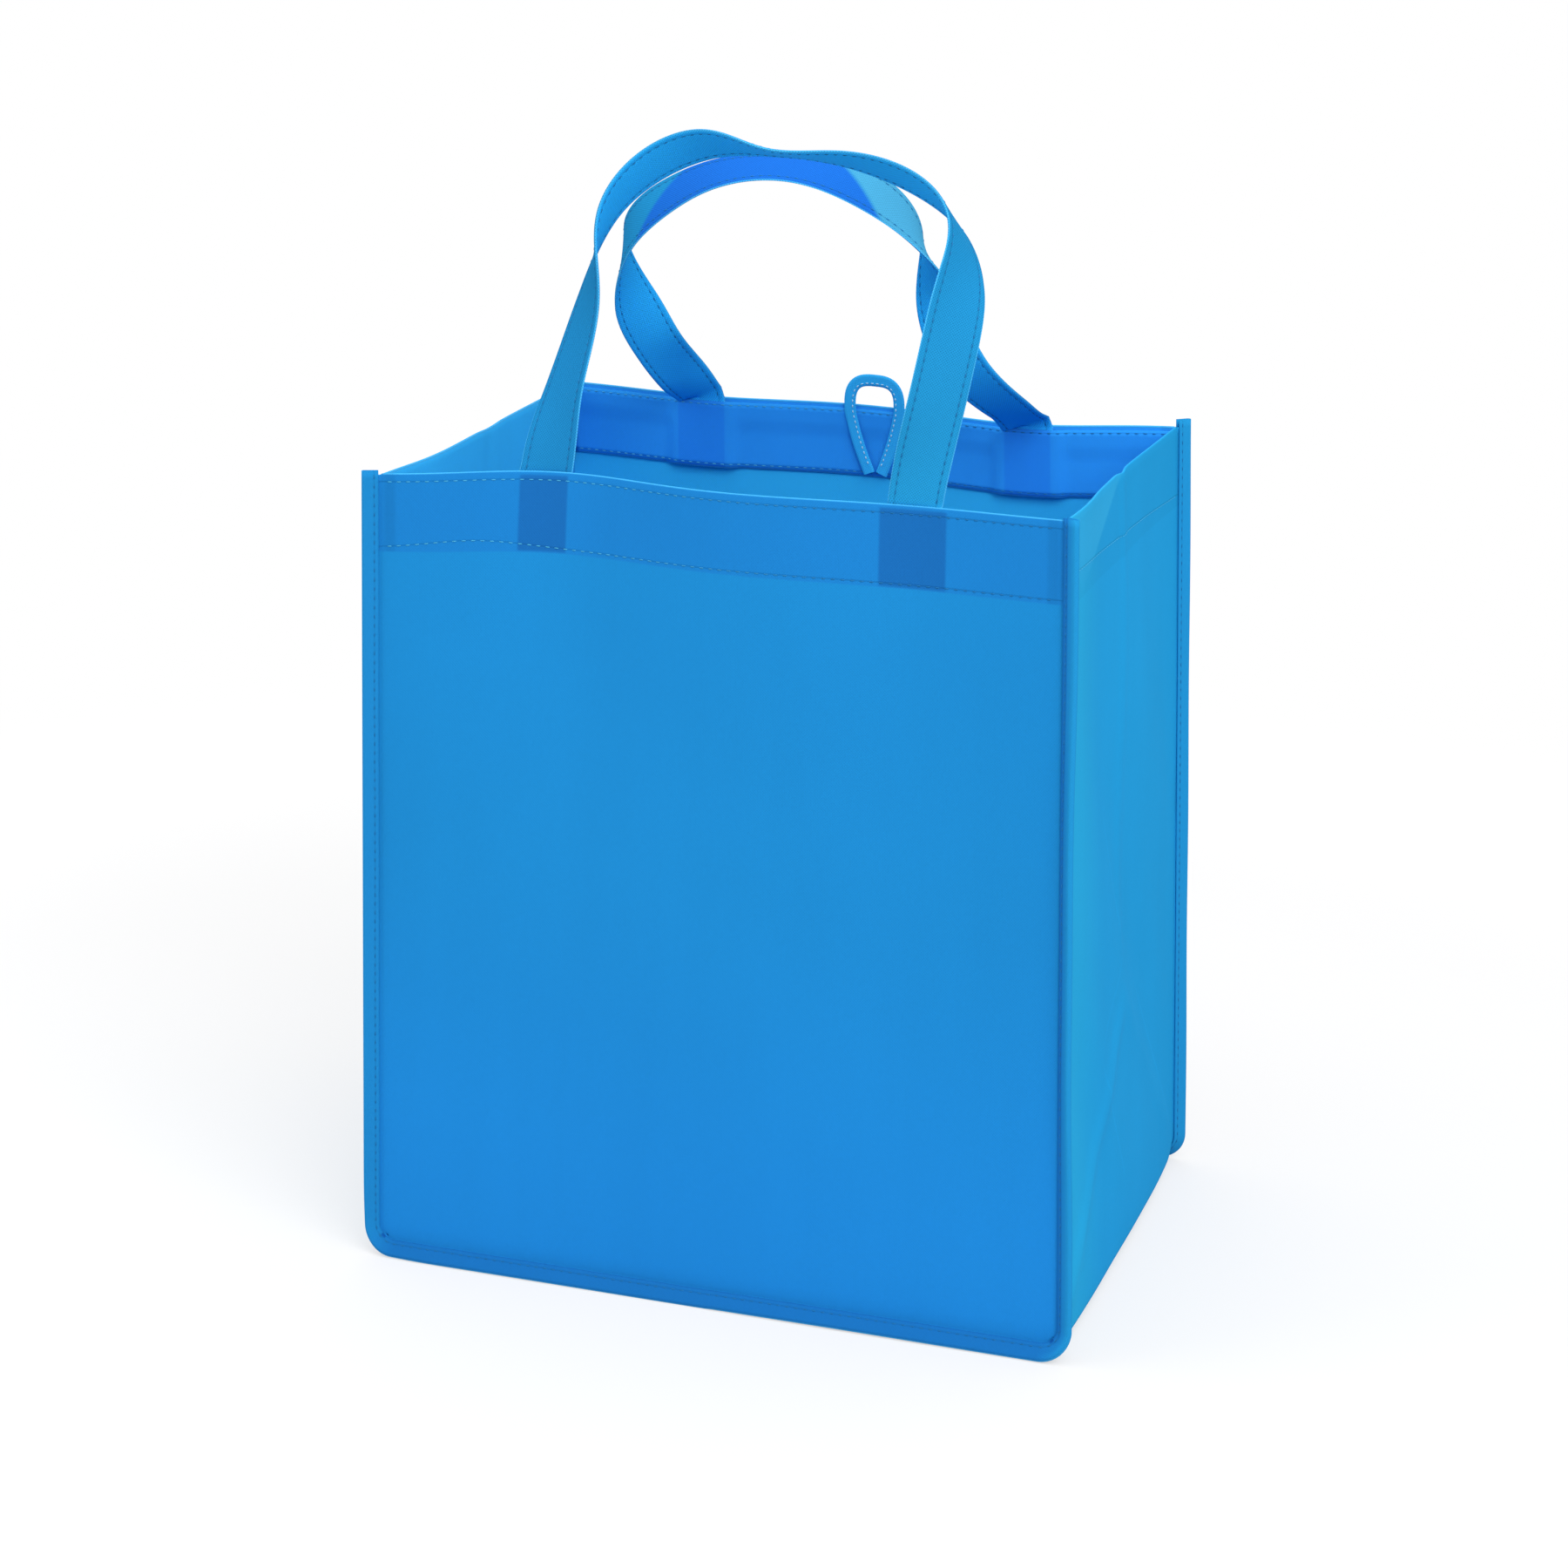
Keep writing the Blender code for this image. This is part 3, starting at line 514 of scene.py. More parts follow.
def merge_mesh(obj, distance=0.02 * MM):
    """Merges the points of an object that lie together and drops loose ones."""
    work = bmesh.new()
    work.from_mesh(obj.data)
    bmesh.ops.remove_doubles(work, verts=work.verts, dist=distance)
    loose = [vert for vert in work.verts if not vert.link_faces]
    bmesh.ops.delete(work, geom=loose, context="VERTS")
    work.to_mesh(obj.data)
    work.free()


def grid_between(grid, rows):
    """One line through a grid of points, at a row number with a fraction for each column."""
    low = np.floor(rows).astype(int)
    share = (rows - low)[:, None]
    column = np.arange(grid.shape[1])
    return grid[low, column] * (1 - share) + grid[low + 1, column] * share


def grid_faces(rows, columns, closed=False):
    """Quads of a grid, row by row; closed joins the last column to the first."""
    index = np.arange(rows * columns).reshape(rows, columns)
    if closed:
        index = np.concatenate([index, index[:, :1]], axis=1)
    return np.stack([index[:-1, :-1], index[1:, :-1], index[1:, 1:], index[:-1, 1:]], axis=-1)


def cloth_sheet(name, grid, uv, thickness, keep=None, faces=()):
    """Grid of points made a sheet of cloth with an even thickness on both sides of it.

    faces are the finishes of the side that the grid's normals point to and of the other one.
    """
    rows, columns = grid.shape[:2]
    quads = grid_faces(rows, columns)
    if keep is None:
        keep = np.ones(quads.shape[:2], dtype=bool)
    obj = mesh_object(name, grid.reshape(-1, 3), quads[keep], uv.reshape(-1, 2))
    merge_mesh(obj)
    solid = obj.modifiers.new("cloth thickness", "SOLIDIFY")
    solid.thickness = thickness
    solid.offset = 0
    solid.material_offset = len(faces) - 1
    for material in faces:
        obj.data.materials.append(material)
    obj.data.set_sharp_from_angle(angle=math.radians(50))
    return obj


def strap_solid(name, middle, uv, thickness, finishes, round_share=0.35, groove=0.0,
                groove_at=0.76):
    """Flat strap as one closed surface round a middle surface.

    Each side is the middle surface moved along its normal by half the thickness, which falls
    to nothing at the edges as a quarter circle, and by a shallow groove along each seam row.
    finishes are those of the side that the normal points to and of the other one.
    """
    along = np.gradient(middle, axis=0)
    across = np.gradient(middle, axis=1)
    normal = unit(np.cross(along, across))
    w = np.linspace(-1, 1, middle.shape[1])
    edge_distance = 1 - np.abs(w)
    edge = thickness * round_share / np.linalg.norm(middle[0, 0] - middle[0, -1]) * 2
    swell = np.sqrt(1 - (1 - np.clip(edge_distance / edge, 0, 1)) ** 2)
    seam = bell((np.abs(w) - groove_at) / 0.05)
    half = (thickness / 2 * swell - groove * seam)[None, :, None]
    upper = middle + normal * half
    lower = (middle - normal * half)[:, ::-1]
    ring = np.concatenate([upper, lower[:, 1:-1]], axis=1)
    ring_uv = np.concatenate([uv, uv[:, ::-1][:, 1:-1]], axis=1)
    rows, columns = ring.shape[:2]
    faces = grid_faces(rows, columns, closed=True).reshape(-1, 4)
    obj = mesh_object(name, ring.reshape(-1, 3), faces, ring_uv.reshape(-1, 2))
    for material in finishes:
        obj.data.materials.append(material)
    below = np.tile(np.arange(columns) >= middle.shape[1] - 1, rows - 1)
    obj.data.polygons.foreach_set("material_index", (below * (len(finishes) - 1)).astype("i"))
    work = bmesh.new()
    work.from_mesh(obj.data)
    bmesh.ops.holes_fill(work, edges=[edge for edge in work.edges if edge.is_boundary])
    bmesh.ops.recalc_face_normals(work, faces=work.faces)
    work.to_mesh(obj.data)
    work.free()
    obj.data.set_sharp_from_angle(angle=math.radians(60))
    return obj


def place(obj, slot, *nodes, flat=None, held="stretched", rests_on=()):
    """Puts a piece on the bag's body and hides the frame's parts that it stands in for."""
    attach(obj, "root")
    if nodes:
        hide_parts(*nodes)


def corner_lines(bag):
    """Distances from a seam of the grid lines inside a rounded corner."""
    return np.linspace(0, bag.corner, 7)


def panel_surface(bag, side):
    """Grid, flat places and kept faces of a wall with its fin edges and its mouth fold."""
    corner = corner_lines(bag)
    fin = np.array([-bag.fin, -bag.fin / 2])
    middle = spaced(bag.corner, bag.width / 2, bag.step)[1:]
    across = mirrored(np.concatenate([corner, middle]), bag.width)
    across = np.concatenate([fin, across, bag.width - fin[::-1]])
    top = bag.side_height - bag.fold_radius
    up = np.concatenate([fin, corner, spaced(bag.corner, top, bag.step)[1:]])
    p, q = np.meshgrid(np.minimum(across, bag.width - across), up, indexing="ij")
    x_sign = np.where(across < bag.width / 2, -1.0, 1.0)[:, None] * np.ones_like(p)
    flat_p, flat_q, out_side, out_base = round_corner(bag, np.maximum(p, 0), np.maximum(q, 0))
    x = x_sign * (bag.width / 2 - flat_p)
    z = bag.seam_height + flat_q
    points = wall_point(bag, x, z, side)
    outward, along, square, turn = fin_frame(bag, x, z, x_sign, out_side, out_base, side)
    reach = np.clip(np.maximum(-p, -q) / bag.fin, 0, 1)
    cloth_layer = bag.layer / 2
    root = points - outward * (cloth_layer / np.sin(turn))[..., None]
    out = points + along * (reach * bag.fin)[..., None] + square * cloth_layer
    points = np.where(((p <= 0) | (q <= 0))[..., None], root, points)
    points = np.where((reach > 0)[..., None], out, points)
    uv = np.stack([x_sign * (bag.width / 2 - p), bag.seam_height + q], axis=-1)

    rows = []
    flat_rows = []
    for turn in np.radians((30, 60, 90, 120, 150, 180)):
        height = bag.height - bag.fold_radius + bag.fold_radius * math.sin(turn)
        inwards = bag.fold_radius * (1 - math.cos(turn))
        rows.append(wall_point(bag, x[:, -1], height, side, inwards))
        flat_rows.append(uv[:, -1] + (0, bag.fold_radius * turn))
    for depth in spaced(0, bag.panel_fold, bag.step)[1:]:
        rows.append(wall_point(bag, x[:, -1], bag.height - depth, side, bag.layer))
        flat_rows.append(uv[:, -1] + (0, bag.fold_radius * math.pi + depth))
    grid = np.concatenate([points, np.stack(rows, axis=1)], axis=1)
    uv = np.concatenate([uv, np.stack(flat_rows, axis=1)], axis=1)
    keep = np.ones((grid.shape[0] - 1, grid.shape[1] - 1), dtype=bool)
    keep[:3, points.shape[1] - 1:] = False
    keep[-3:, points.shape[1] - 1:] = False
    return grid, uv, keep


def seam_line(bag, up, across):
    """Seam from the left mouth corner down, across the base and up to the right one.

    Returns flat x, height, side sign, the outward direction's shares and the run's length.
    """
    left = np.stack([-np.ones_like(up), np.zeros_like(up), up], axis=-1)[::-1]
    base = np.stack([-np.ones_like(across), across, np.zeros_like(across)], axis=-1)
    right = left[::-1] * (-1, 1, 1)
    stations = np.concatenate([left, base[1:], base[::-1][1:] * (-1, 1, 1), right[1:]])
    x_sign = stations[:, 0]
    p, q, out_side, out_base = round_corner(bag, stations[:, 1], stations[:, 2])
    x = x_sign * (bag.width / 2 - p)
    z = bag.seam_height + q
    run = np.concatenate([[0], np.cumsum(np.hypot(np.diff(x), np.diff(z)))])
    return x, z, x_sign, out_side, out_base, run


def gusset_creases(bag, depth, z):
    """Folded creases of a side wall, as a push out of its plane.

    One ridge down the middle from the mouth to half the depth above the base, and from its
    foot two ridges to the lower corners, as the bag folds flat. Each is a narrow bell of the
    distance to its line.
    """
    fan = bag.depth / 2
    y = depth * fan
    h = z - bag.seam_height
    away = (h - fan + np.abs(y)) / math.sqrt(2)
    low = cosine_step(h / 0.03) * cosine_step((fan - h) / 0.03 + 0.5)
    ridge = 1.3 * MM * bell(away / 0.007) * low
    middle = 0.9 * MM * bell(y / 0.006) * cosine_step((h - fan) / 0.05)
    sag = 2.0 * MM * np.sin(5 * depth + 9 * h / bag.side_height) * (1 - depth ** 4)
    sag = sag * np.sin(np.pi * np.clip(h / bag.side_height, 0, 1))
    dents = 0.8 * MM * np.sin(y / 0.011 + h / 0.017) * bell((h - fan) / 0.07) * (1 - depth ** 4)
    return ridge + middle + sag + dents


def gusset_surface(bag):
    """Grid of side, base and side in one strip, with both mouths hemmed inwards.

    Straight across from seam to seam, then drawn in along the centre crease towards the
    mouth, half as far on the right, where a bell swells it near the front. The mouth sags by
    a few bells, and the base is let down to the floor between the base seams.
    """
    corner = corner_lines(bag)
    top = bag.side_height - bag.fold_radius
    fan = bag.depth / 2
    up = np.concatenate([corner, spaced(bag.corner, top - bag.gusset_hem, bag.step)[1:],
                         spaced(top - bag.gusset_hem, top, bag.step)[1:]])
    across = np.concatenate([corner, spaced(bag.corner, bag.width / 2, 2 * bag.step)[1:]])
    x, z, x_sign, out_side, out_base, run = seam_line(bag, up, across)
    front = wall_point(bag, x, z, FRONT)
    back = wall_point(bag, x, z, BACK)
    edge = 2 * bag.layer / bag.depth
    depth = spaced(-1 + edge, 1 - edge, 2 * bag.step / bag.depth)
    weight = ((depth + 1) / 2)[None, :, None]
    wall = front[:, None] * (1 - weight) + back[:, None] * weight

    from_seam = (1 - np.abs(depth)) * bag.depth / 2
    drop = (bag.seam_height - bag.fabric / 2) * cosine_step(from_seam / bag.base_run)
    fade = 1 - cosine_step((z - bag.seam_height) / (5 * bag.corner))
    wall[..., 2] -= drop[None, :] * fade[:, None]
    height = np.clip((z - bag.seam_height - fan) / (bag.side_height - fan), 0, 1) ** 1.5
    crease = bag.crease * (1 - np.abs(depth))
    right_crease = 0.5 * crease - bag.front_push * bell((depth + 0.72) / 0.3)
    crease = np.where(x_sign[:, None] < 0, crease[None, :], right_crease[None, :])
    wall[..., 0] -= x_sign[:, None] * crease * height[:, None]
    left = bell((depth + 0.5) / 0.4)[None, :] * (x_sign < 0)[:, None]
    right = 0.15 * bell((depth + 0.2) / 0.16)[None, :] * (x_sign > 0)[:, None]
    notch = 0.4 * bell(depth / 0.07)[None, :]
    wall[..., 2] -= bag.slack * (left + right + notch) * height[:, None] ** 3
    bulge = bag.bulge * out_side * (1 - cosine_step((z - bag.seam_height) / bag.bulge_height))
    wall[..., 0] += x_sign[:, None] * bulge[:, None] * (1 - depth ** 4)[None, :]
    push = gusset_creases(bag, depth[None, :], z[:, None])
    wall[..., 0] += x_sign[:, None] * push * out_side[:, None]

    columns = [wall]
    flat = [np.broadcast_to((depth * fan)[None, :], wall.shape[:2])]
    for side, seam in ((FRONT, front), (BACK, back)):
        _, along, square, turn = fin_frame(bag, x, z, x_sign, out_side, out_base, side)
        face = np.array([0.0, side, 0.0])
        root = seam - face * (bag.layer / 2 / np.cos(turn))[:, None]
        half = seam + along * bag.fin / 2 - square * bag.layer / 2
        tip = seam + along * bag.fin - square * bag.layer / 2
        fin = np.stack([tip, half, root], axis=1)
        places = side * (fan + np.array([bag.fin, bag.fin / 2, 0.0]))
        places = np.broadcast_to(places[None, :], fin.shape[:2])
        if side == FRONT:
            columns.insert(0, fin)
            flat.insert(0, places)
        else:
            columns.append(fin[:, ::-1])
            flat.append(places[:, ::-1])
    strip = np.concatenate(columns, axis=1)
    flat = np.concatenate(flat, axis=1)
    uv = np.stack([flat, np.broadcast_to(run[:, None], flat.shape)], axis=-1)

    def hem(strip_rows, uv_rows, sign, direction):
        """Rows of one mouth's turned-in hem, from the fold to its raw edge.

        The flap copies the wall's rows below the mouth, one layer further in.
        """
        inwards = np.array([-sign, 0.0, 0.0])
        end, end_uv = strip_rows[0], uv_rows[0]
        rows, rows_uv = [], []
        for turn in np.radians((45, 90, 135)):
            rise = np.array([0, 0, bag.fold_radius * math.sin(turn)])
            rows.append(end + inwards * bag.fold_radius * (1 - math.cos(turn)) + rise)
            rows_uv.append(end_uv + (0, direction * bag.fold_radius * turn))
        for row, row_uv in zip(strip_rows, uv_rows):
            rows.append(row + inwards * bag.layer)
            rows_uv.append(2 * end_uv - row_uv + (0, direction * bag.fold_radius * math.pi))
        return np.stack(rows), np.stack(rows_uv)

    count = len(spaced(top - bag.gusset_hem, top, bag.step))
    first, first_uv = hem(strip[:count], uv[:count], -1.0, -1)
    last, last_uv = hem(strip[-count:][::-1], uv[-count:][::-1], 1.0, 1)
    grid = np.concatenate([first[::-1], strip, last])
    uv = np.concatenate([first_uv[::-1], uv, last_uv])
    keep = np.ones((grid.shape[0] - 1, grid.shape[1] - 1), dtype=bool)
    for edge in (slice(0, 3), slice(-3, None)):
        keep[:len(first), edge] = False
        keep[-len(last):, edge] = False
    return grid, uv, keep


def binding_section(bag):
    """Reach along the fin and distance from it of a folded binding's section."""
    layer = bag.binding_layer
    arms = spaced(bag.binding_start, bag.binding_turn, 1.5 * MM)
    turns = np.radians(np.arange(20, 180, 20))
    reach = np.concatenate([arms, bag.binding_turn + layer * np.sin(turns), arms[::-1]])
    square = np.concatenate([np.full_like(arms, layer), layer * np.cos(turns),
                             np.full_like(arms, -layer)])
    return reach, square


def binding_line(bag, side, tail):
    """Seam stations of a binding: places, fin directions and run."""
    corner = corner_lines(bag)
    up = np.concatenate([corner, spaced(bag.corner, bag.side_height + tail, bag.step)[1:]])
    across = np.concatenate([corner, spaced(bag.corner, bag.width / 2, bag.step)[1:]])
    x, z, x_sign, out_side, out_base, run = seam_line(bag, up, across)
    seam = wall_point(bag, x, z, side)
    _, along, square, _ = fin_frame(bag, x, z, x_sign, out_side, out_base, side)
    return seam, along, square, run


def binding_surface(bag, side):
    """Grid of a strip folded over the fin's raw edges."""
    seam, along, square, run = binding_line(bag, side, bag.tails[side])
    reach, layer = binding_section(bag)
    grid = (seam[:, None] + along[:, None] * reach[None, :, None]
            + square[:, None] * layer[None, :, None])
    width = np.concatenate([[0], np.cumsum(np.hypot(np.diff(reach), np.diff(layer)))])
    uv = np.stack(np.broadcast_arrays(width[None, :], run[:, None]), axis=-1)
    return grid, uv


def facing_layer(bag, x, z, side):
    """Distance of a facing from the wall.

    Two layers where the panel's own fold lies between them, one below it, and further in
    where the facing goes over a strap end. Cosine steps join the three.
    """
    narrow = bag.mouth_width / bag.width
    flat_half = bag.strap_width / 2 + 1.2 * MM
    ramp = 7 * MM
    over = np.zeros_like(x)
    for centre in bag.straps[side]:
        over = over + cosine_step((flat_half + ramp - np.abs(x * narrow - centre)) / ramp)
    fold_end = bag.height - bag.panel_fold
    plain = bag.layer + bag.layer * cosine_step((z - fold_end) / (4 * MM) + 2)
    return plain + (bag.over_strap - plain) * over


def facing_surface(bag, side):
    """Grid of the band inside the mouth, bulging over the two strap ends."""
    half = bag.width / 2 - bag.layer - bag.fabric - bag.gap
    x = spaced(-half, half, 2.2 * MM)
    heights = bag.height - spaced(bag.facing_drop, bag.facing_depth, bag.step)
    x, z = np.meshgrid(x, heights)
    grid = wall_point(bag, x, z, side, facing_layer(bag, x, z, side))
    return grid, np.stack([x, z], axis=-1)


def clamped_spline(knots, values, first_slope, last_slope, at):
    """Cubic spline through values at knots with set end slopes, read at many places."""
    count = len(knots)
    step = np.diff(knots)
    matrix = np.zeros((count, count))
    right = np.zeros((count, values.shape[1]))
    matrix[0, 0] = matrix[-1, -1] = 1
    right[0], right[-1] = first_slope, last_slope
    inner = np.arange(1, count - 1)
    before, after = step[:-1], step[1:]
    matrix[inner, inner - 1] = 1 / before
    matrix[inner, inner] = 2 / before + 2 / after
    matrix[inner, inner + 1] = 1 / after
    rises = np.diff(values, axis=0)
    right[1:-1] = 3 * (rises[:-1] / before[:, None] ** 2 + rises[1:] / after[:, None] ** 2)
    slope = np.linalg.solve(matrix, right)
    k = np.clip(np.searchsorted(knots, at, side="right") - 1, 0, count - 2)
    h = step[k][:, None]
    t = ((at - knots[k]) / step[k])[:, None]
    return ((1 + 2 * t) * (1 - t) ** 2 * values[k] + t * (1 - t) ** 2 * h * slope[k]
            + t * t * (3 - 2 * t) * values[k + 1] - t * t * (1 - t) * h * slope[k + 1])


def strap_middle(bag, side, columns=33):
    """Middle surface of one handle, from one sewn-in end to the other.

    Between the ends the strap follows a spline through its route. The width line is turned
    about the run by the route's angle, starting from the line that is square to the run and
    to the bag's depth.
    """
    across = np.linspace(-1, 1, columns) * bag.strap_width / 2
    narrow = bag.width / bag.mouth_width
    heights = spaced(bag.height - bag.facing_depth, bag.height, 2.5 * MM)
    ends = []
    for centre in bag.straps[side]:
        x, z = np.meshgrid((centre + across) * narrow, heights)
        ends.append(wall_point(bag, x, z, side, bag.strap_layer))
    left, right = ends
    mid = columns // 2
    half_spread = bag.spreads[side] / 2
    middle = sum(bag.straps[side]) / 2 + bag.lean_x[side]
    rows = np.array(ROUTES[side], dtype=float)
    free = np.stack([middle + rows[:, 0] * half_spread,
                     side * (bag.depth / 2 - rows[:, 1] * bag.lean),
                     bag.height + rows[:, 2] * bag.rise, rows[:, 3]], axis=-1)
    stations = np.vstack([np.append(left[-1, mid], 0), free, np.append(right[-1, mid], 0)])
    chords = np.linalg.norm(np.diff(stations[:, :3], axis=0), axis=1)
    knots = np.concatenate([[0], np.cumsum(chords)])
    bend = bag.mouth_bend if side == FRONT else bag.back_bend
    chord = unit(np.diff(stations[:, :3], axis=0)[[0, -1]])
    start = unit(left[-1, mid] - left[-2, mid]) * (1 - bend) + chord[0] * bend
    stop = unit(right[-2, mid] - right[-1, mid]) * (1 - bend) + chord[1] * bend
    first, last = np.append(start, 0), np.append(stop, 0)
    at = spaced(0, knots[-1], 2.5 * MM)
    run = clamped_spline(knots, stations, first, last, at)
    line, turn = run[:, :3], np.radians(run[:, 3])[:, None]
    forward = unit(np.gradient(line, at, axis=0))
    depth_axis = np.array([0.0, 1.0, 0.0])
    level = unit(depth_axis - forward * forward[:, 1:2])
    flat = np.cross(level, forward)
    width = np.cos(turn) * flat + np.sin(turn) * level
    loop = line[:, None] + width[:, None] * across[None, :, None]
    surface = np.concatenate([left, loop[1:-1], right[::-1, ::-1]])
    steps = np.linalg.norm(np.diff(surface[:, mid], axis=0), axis=1)
    length_run = np.concatenate([[0], np.cumsum(steps)])
    uv = np.stack(np.broadcast_arrays(across[None, :], length_run[:, None]), axis=-1)
    return surface, uv, len(left)


def loop_middle(bag, columns=9):
    """Middle surface of the hang loop: a drop of tape, its two ends side by side.

    Its top is half a circle made squarer: cosine and sine to a power below 1.
    """
    centre_z = bag.height + bag.loop_above - bag.tape / 2 - bag.loop_radius
    foot = bag.height - bag.facing_depth + 2 * MM
    foot_half = (bag.tape + bag.gap) / 2
    turns = np.linspace(math.pi * 1.06, -math.pi * 0.06, 41)
    square_turn = np.sign(np.cos(turns)) * np.abs(np.cos(turns)) ** 0.66
    arc = np.stack([bag.loop_radius * square_turn,
                    centre_z + bag.loop_radius * np.sign(np.sin(turns))
                    * np.abs(np.sin(turns)) ** 0.72], axis=-1)
    t = np.linspace(0, 1, 18)[:-1, None]
    start = np.array([-foot_half, foot])
    left = start * (1 - t) + arc[0] * t
    left[:, 0] -= 0.9 * MM * np.sin(np.pi * t[:, 0])
    line = np.concatenate([left, arc, (left * (-1, 1))[::-1]])
    forward = unit(np.gradient(line, axis=0))
    square = np.stack([forward[:, 1], -forward[:, 0]], axis=-1)
    across = np.linspace(-1, 1, columns) * bag.tape / 2
    flat = line[:, None] + square[:, None] * across[None, :, None]
    x = (bag.loop_centre + flat[..., 0]) * bag.width / bag.mouth_width
    surface = wall_point(bag, x, flat[..., 1], BACK, bag.loop_layer)
    steps = np.linalg.norm(np.diff(line, axis=0), axis=1)
    run = np.concatenate([[0], np.cumsum(steps)])
    uv = np.stack(np.broadcast_arrays(across[None, :], run[:, None]), axis=-1)
    return surface, uv


def stitch_row(bag, line, normal, pitch=None, stitch=None, radius=None):
    """Points and faces of the stitches along a line that lies on the cloth.

    Each stitch is a short tube with tapered ends that dip into the cloth. Its rings are set
    by the place along the line, the line's direction and the cloth's normal.
    """
    pitch = pitch or bag.pitch
    stitch = stitch or bag.stitch
    radius = radius or bag.radius
    steps = np.linalg.norm(np.diff(line, axis=0), axis=1)
    run = np.concatenate([[0], np.cumsum(steps)])
    centres = np.arange(pitch / 2, run[-1] - pitch / 4, pitch)
    along = np.linspace(-0.5, 0.5, 5)
    size = radius * np.array([0.35, 0.9, 1.0, 0.9, 0.35])
    sink = radius * np.array([-0.9, 0.1, 0.4, 0.1, -0.9])
    at = centres[:, None] + stitch * along[None, :]
    place_at = np.stack([np.interp(at, run, line[:, i]) for i in range(3)], axis=-1)
    up = unit(np.stack([np.interp(at, run, normal[:, i]) for i in range(3)], axis=-1))
    ahead = unit(np.gradient(place_at, axis=1))
    right = np.cross(ahead, up)
    turns = np.linspace(0, 2 * np.pi, 7)[:-1]
    ring = (place_at[:, :, None] + up[:, :, None] * sink[None, :, None, None]
            + size[None, :, None, None] * (up[:, :, None] * np.sin(turns)[None, None, :, None]
                                           + right[:, :, None]
                                           * np.cos(turns)[None, None, :, None]))
    per_stitch = 5 * 6
    quads = grid_faces(5, 6, closed=True).reshape(-1, 4)
    base = (np.arange(len(centres)) * per_stitch)[:, None, None]
    faces = (quads[None] + base).reshape(-1, 4)
    caps = np.array([[0, 1, 2, 3], [0, 3, 4, 5]])
    ends = np.concatenate([caps, (caps + 24)[:, ::-1]])
    ends = (ends[None] + base).reshape(-1, 4)
    return ring.reshape(-1, 3), np.concatenate([faces, ends])


def stitches_object(name, parts):
    """One mesh of several stitch rows."""
    points, faces, count = [], [], 0
    for row_points, row_faces in parts:
        points.append(row_points)
        faces.append(row_faces + count)
        count += len(row_points)
    obj = mesh_object(name, np.concatenate(points), np.concatenate(faces))
    work = bmesh.new()
    work.from_mesh(obj.data)
    bmesh.ops.recalc_face_normals(work, faces=work.faces)
    work.to_mesh(obj.data)
    work.free()
    return obj


class Nodes:
    """Short way to write a material's nodes."""

    def __init__(self, name):
        self.material = bpy.data.materials.new(name)
        self.material.use_nodes = True
        self.tree = self.material.node_tree
        self.shader = self.tree.nodes["Principled BSDF"]

    @classmethod
    def of(cls, tree):
        """The same help for a node tree that already stands, such as the world's."""
        nodes = cls.__new__(cls)
        nodes.tree = tree
        return nodes

    def add(self, kind, **settings):
        """New node with its settings."""
        node = self.tree.nodes.new(kind)
        for key, value in settings.items():
            setattr(node, key, value)
        return node

    def feed(self, socket, value):
        """Links an output to a socket, or sets the socket to a value."""
        if isinstance(value, bpy.types.NodeSocket):
            self.tree.links.new(value, socket)
        else:
            socket.default_value = value

    def math(self, operation, a, b=None, c=None):
        """Math node on one to three values."""
        node = self.add("ShaderNodeMath", operation=operation)
        for socket, value in zip(node.inputs, (a, b, c)):
            if value is not None:
                self.feed(socket, value)
        return node.outputs[0]

    def band(self, value, low, high, soft):
        """1 where a value lies between low and high, with soft edges."""
        up = self.add("ShaderNodeMapRange", interpolation_type="SMOOTHSTEP")
        down = self.add("ShaderNodeMapRange", interpolation_type="SMOOTHSTEP")
        self.feed(up.inputs["Value"], value)
        self.feed(down.inputs["Value"], value)
        up.inputs["From Min"].default_value = low - soft
        up.inputs["From Max"].default_value = low + soft
        down.inputs["From Min"].default_value = high - soft
        down.inputs["From Max"].default_value = high + soft
        down.inputs["To Min"].default_value = 1.0
        down.inputs["To Max"].default_value = 0.0
        return self.math("MULTIPLY", up.outputs[0], down.outputs[0])

    def flat_place(self):
        """The piece's own flat coordinates u and v, in metres of cloth."""
        node = self.add("ShaderNodeUVMap", uv_map="cloth")
        split = self.add("ShaderNodeSeparateXYZ")
        self.feed(split.inputs[0], node.outputs[0])
        return split.outputs[0], split.outputs[1]

    def mix(self, share_of_b, a, b, blend="MIX"):
        """Two colours mixed, or multiplied."""
        node = self.add("ShaderNodeMix", data_type="RGBA", blend_type=blend)
        self.feed(node.inputs["Factor"], share_of_b)
        self.feed(node.inputs["A"], a)
        self.feed(node.inputs["B"], b)
        return node.outputs["Result"]

    def noise(self, vector, scale, detail=2.0):
        """Noise between 0 and 1."""
        node = self.add("ShaderNodeTexNoise")
        self.feed(node.inputs["Vector"], vector)
        node.inputs["Scale"].default_value = scale
        node.inputs["Detail"].default_value = detail
        return node.outputs[0]

    def object_place(self):
        """Place in the bag's own coordinates."""
        return self.add("ShaderNodeTexCoord").outputs["Object"]


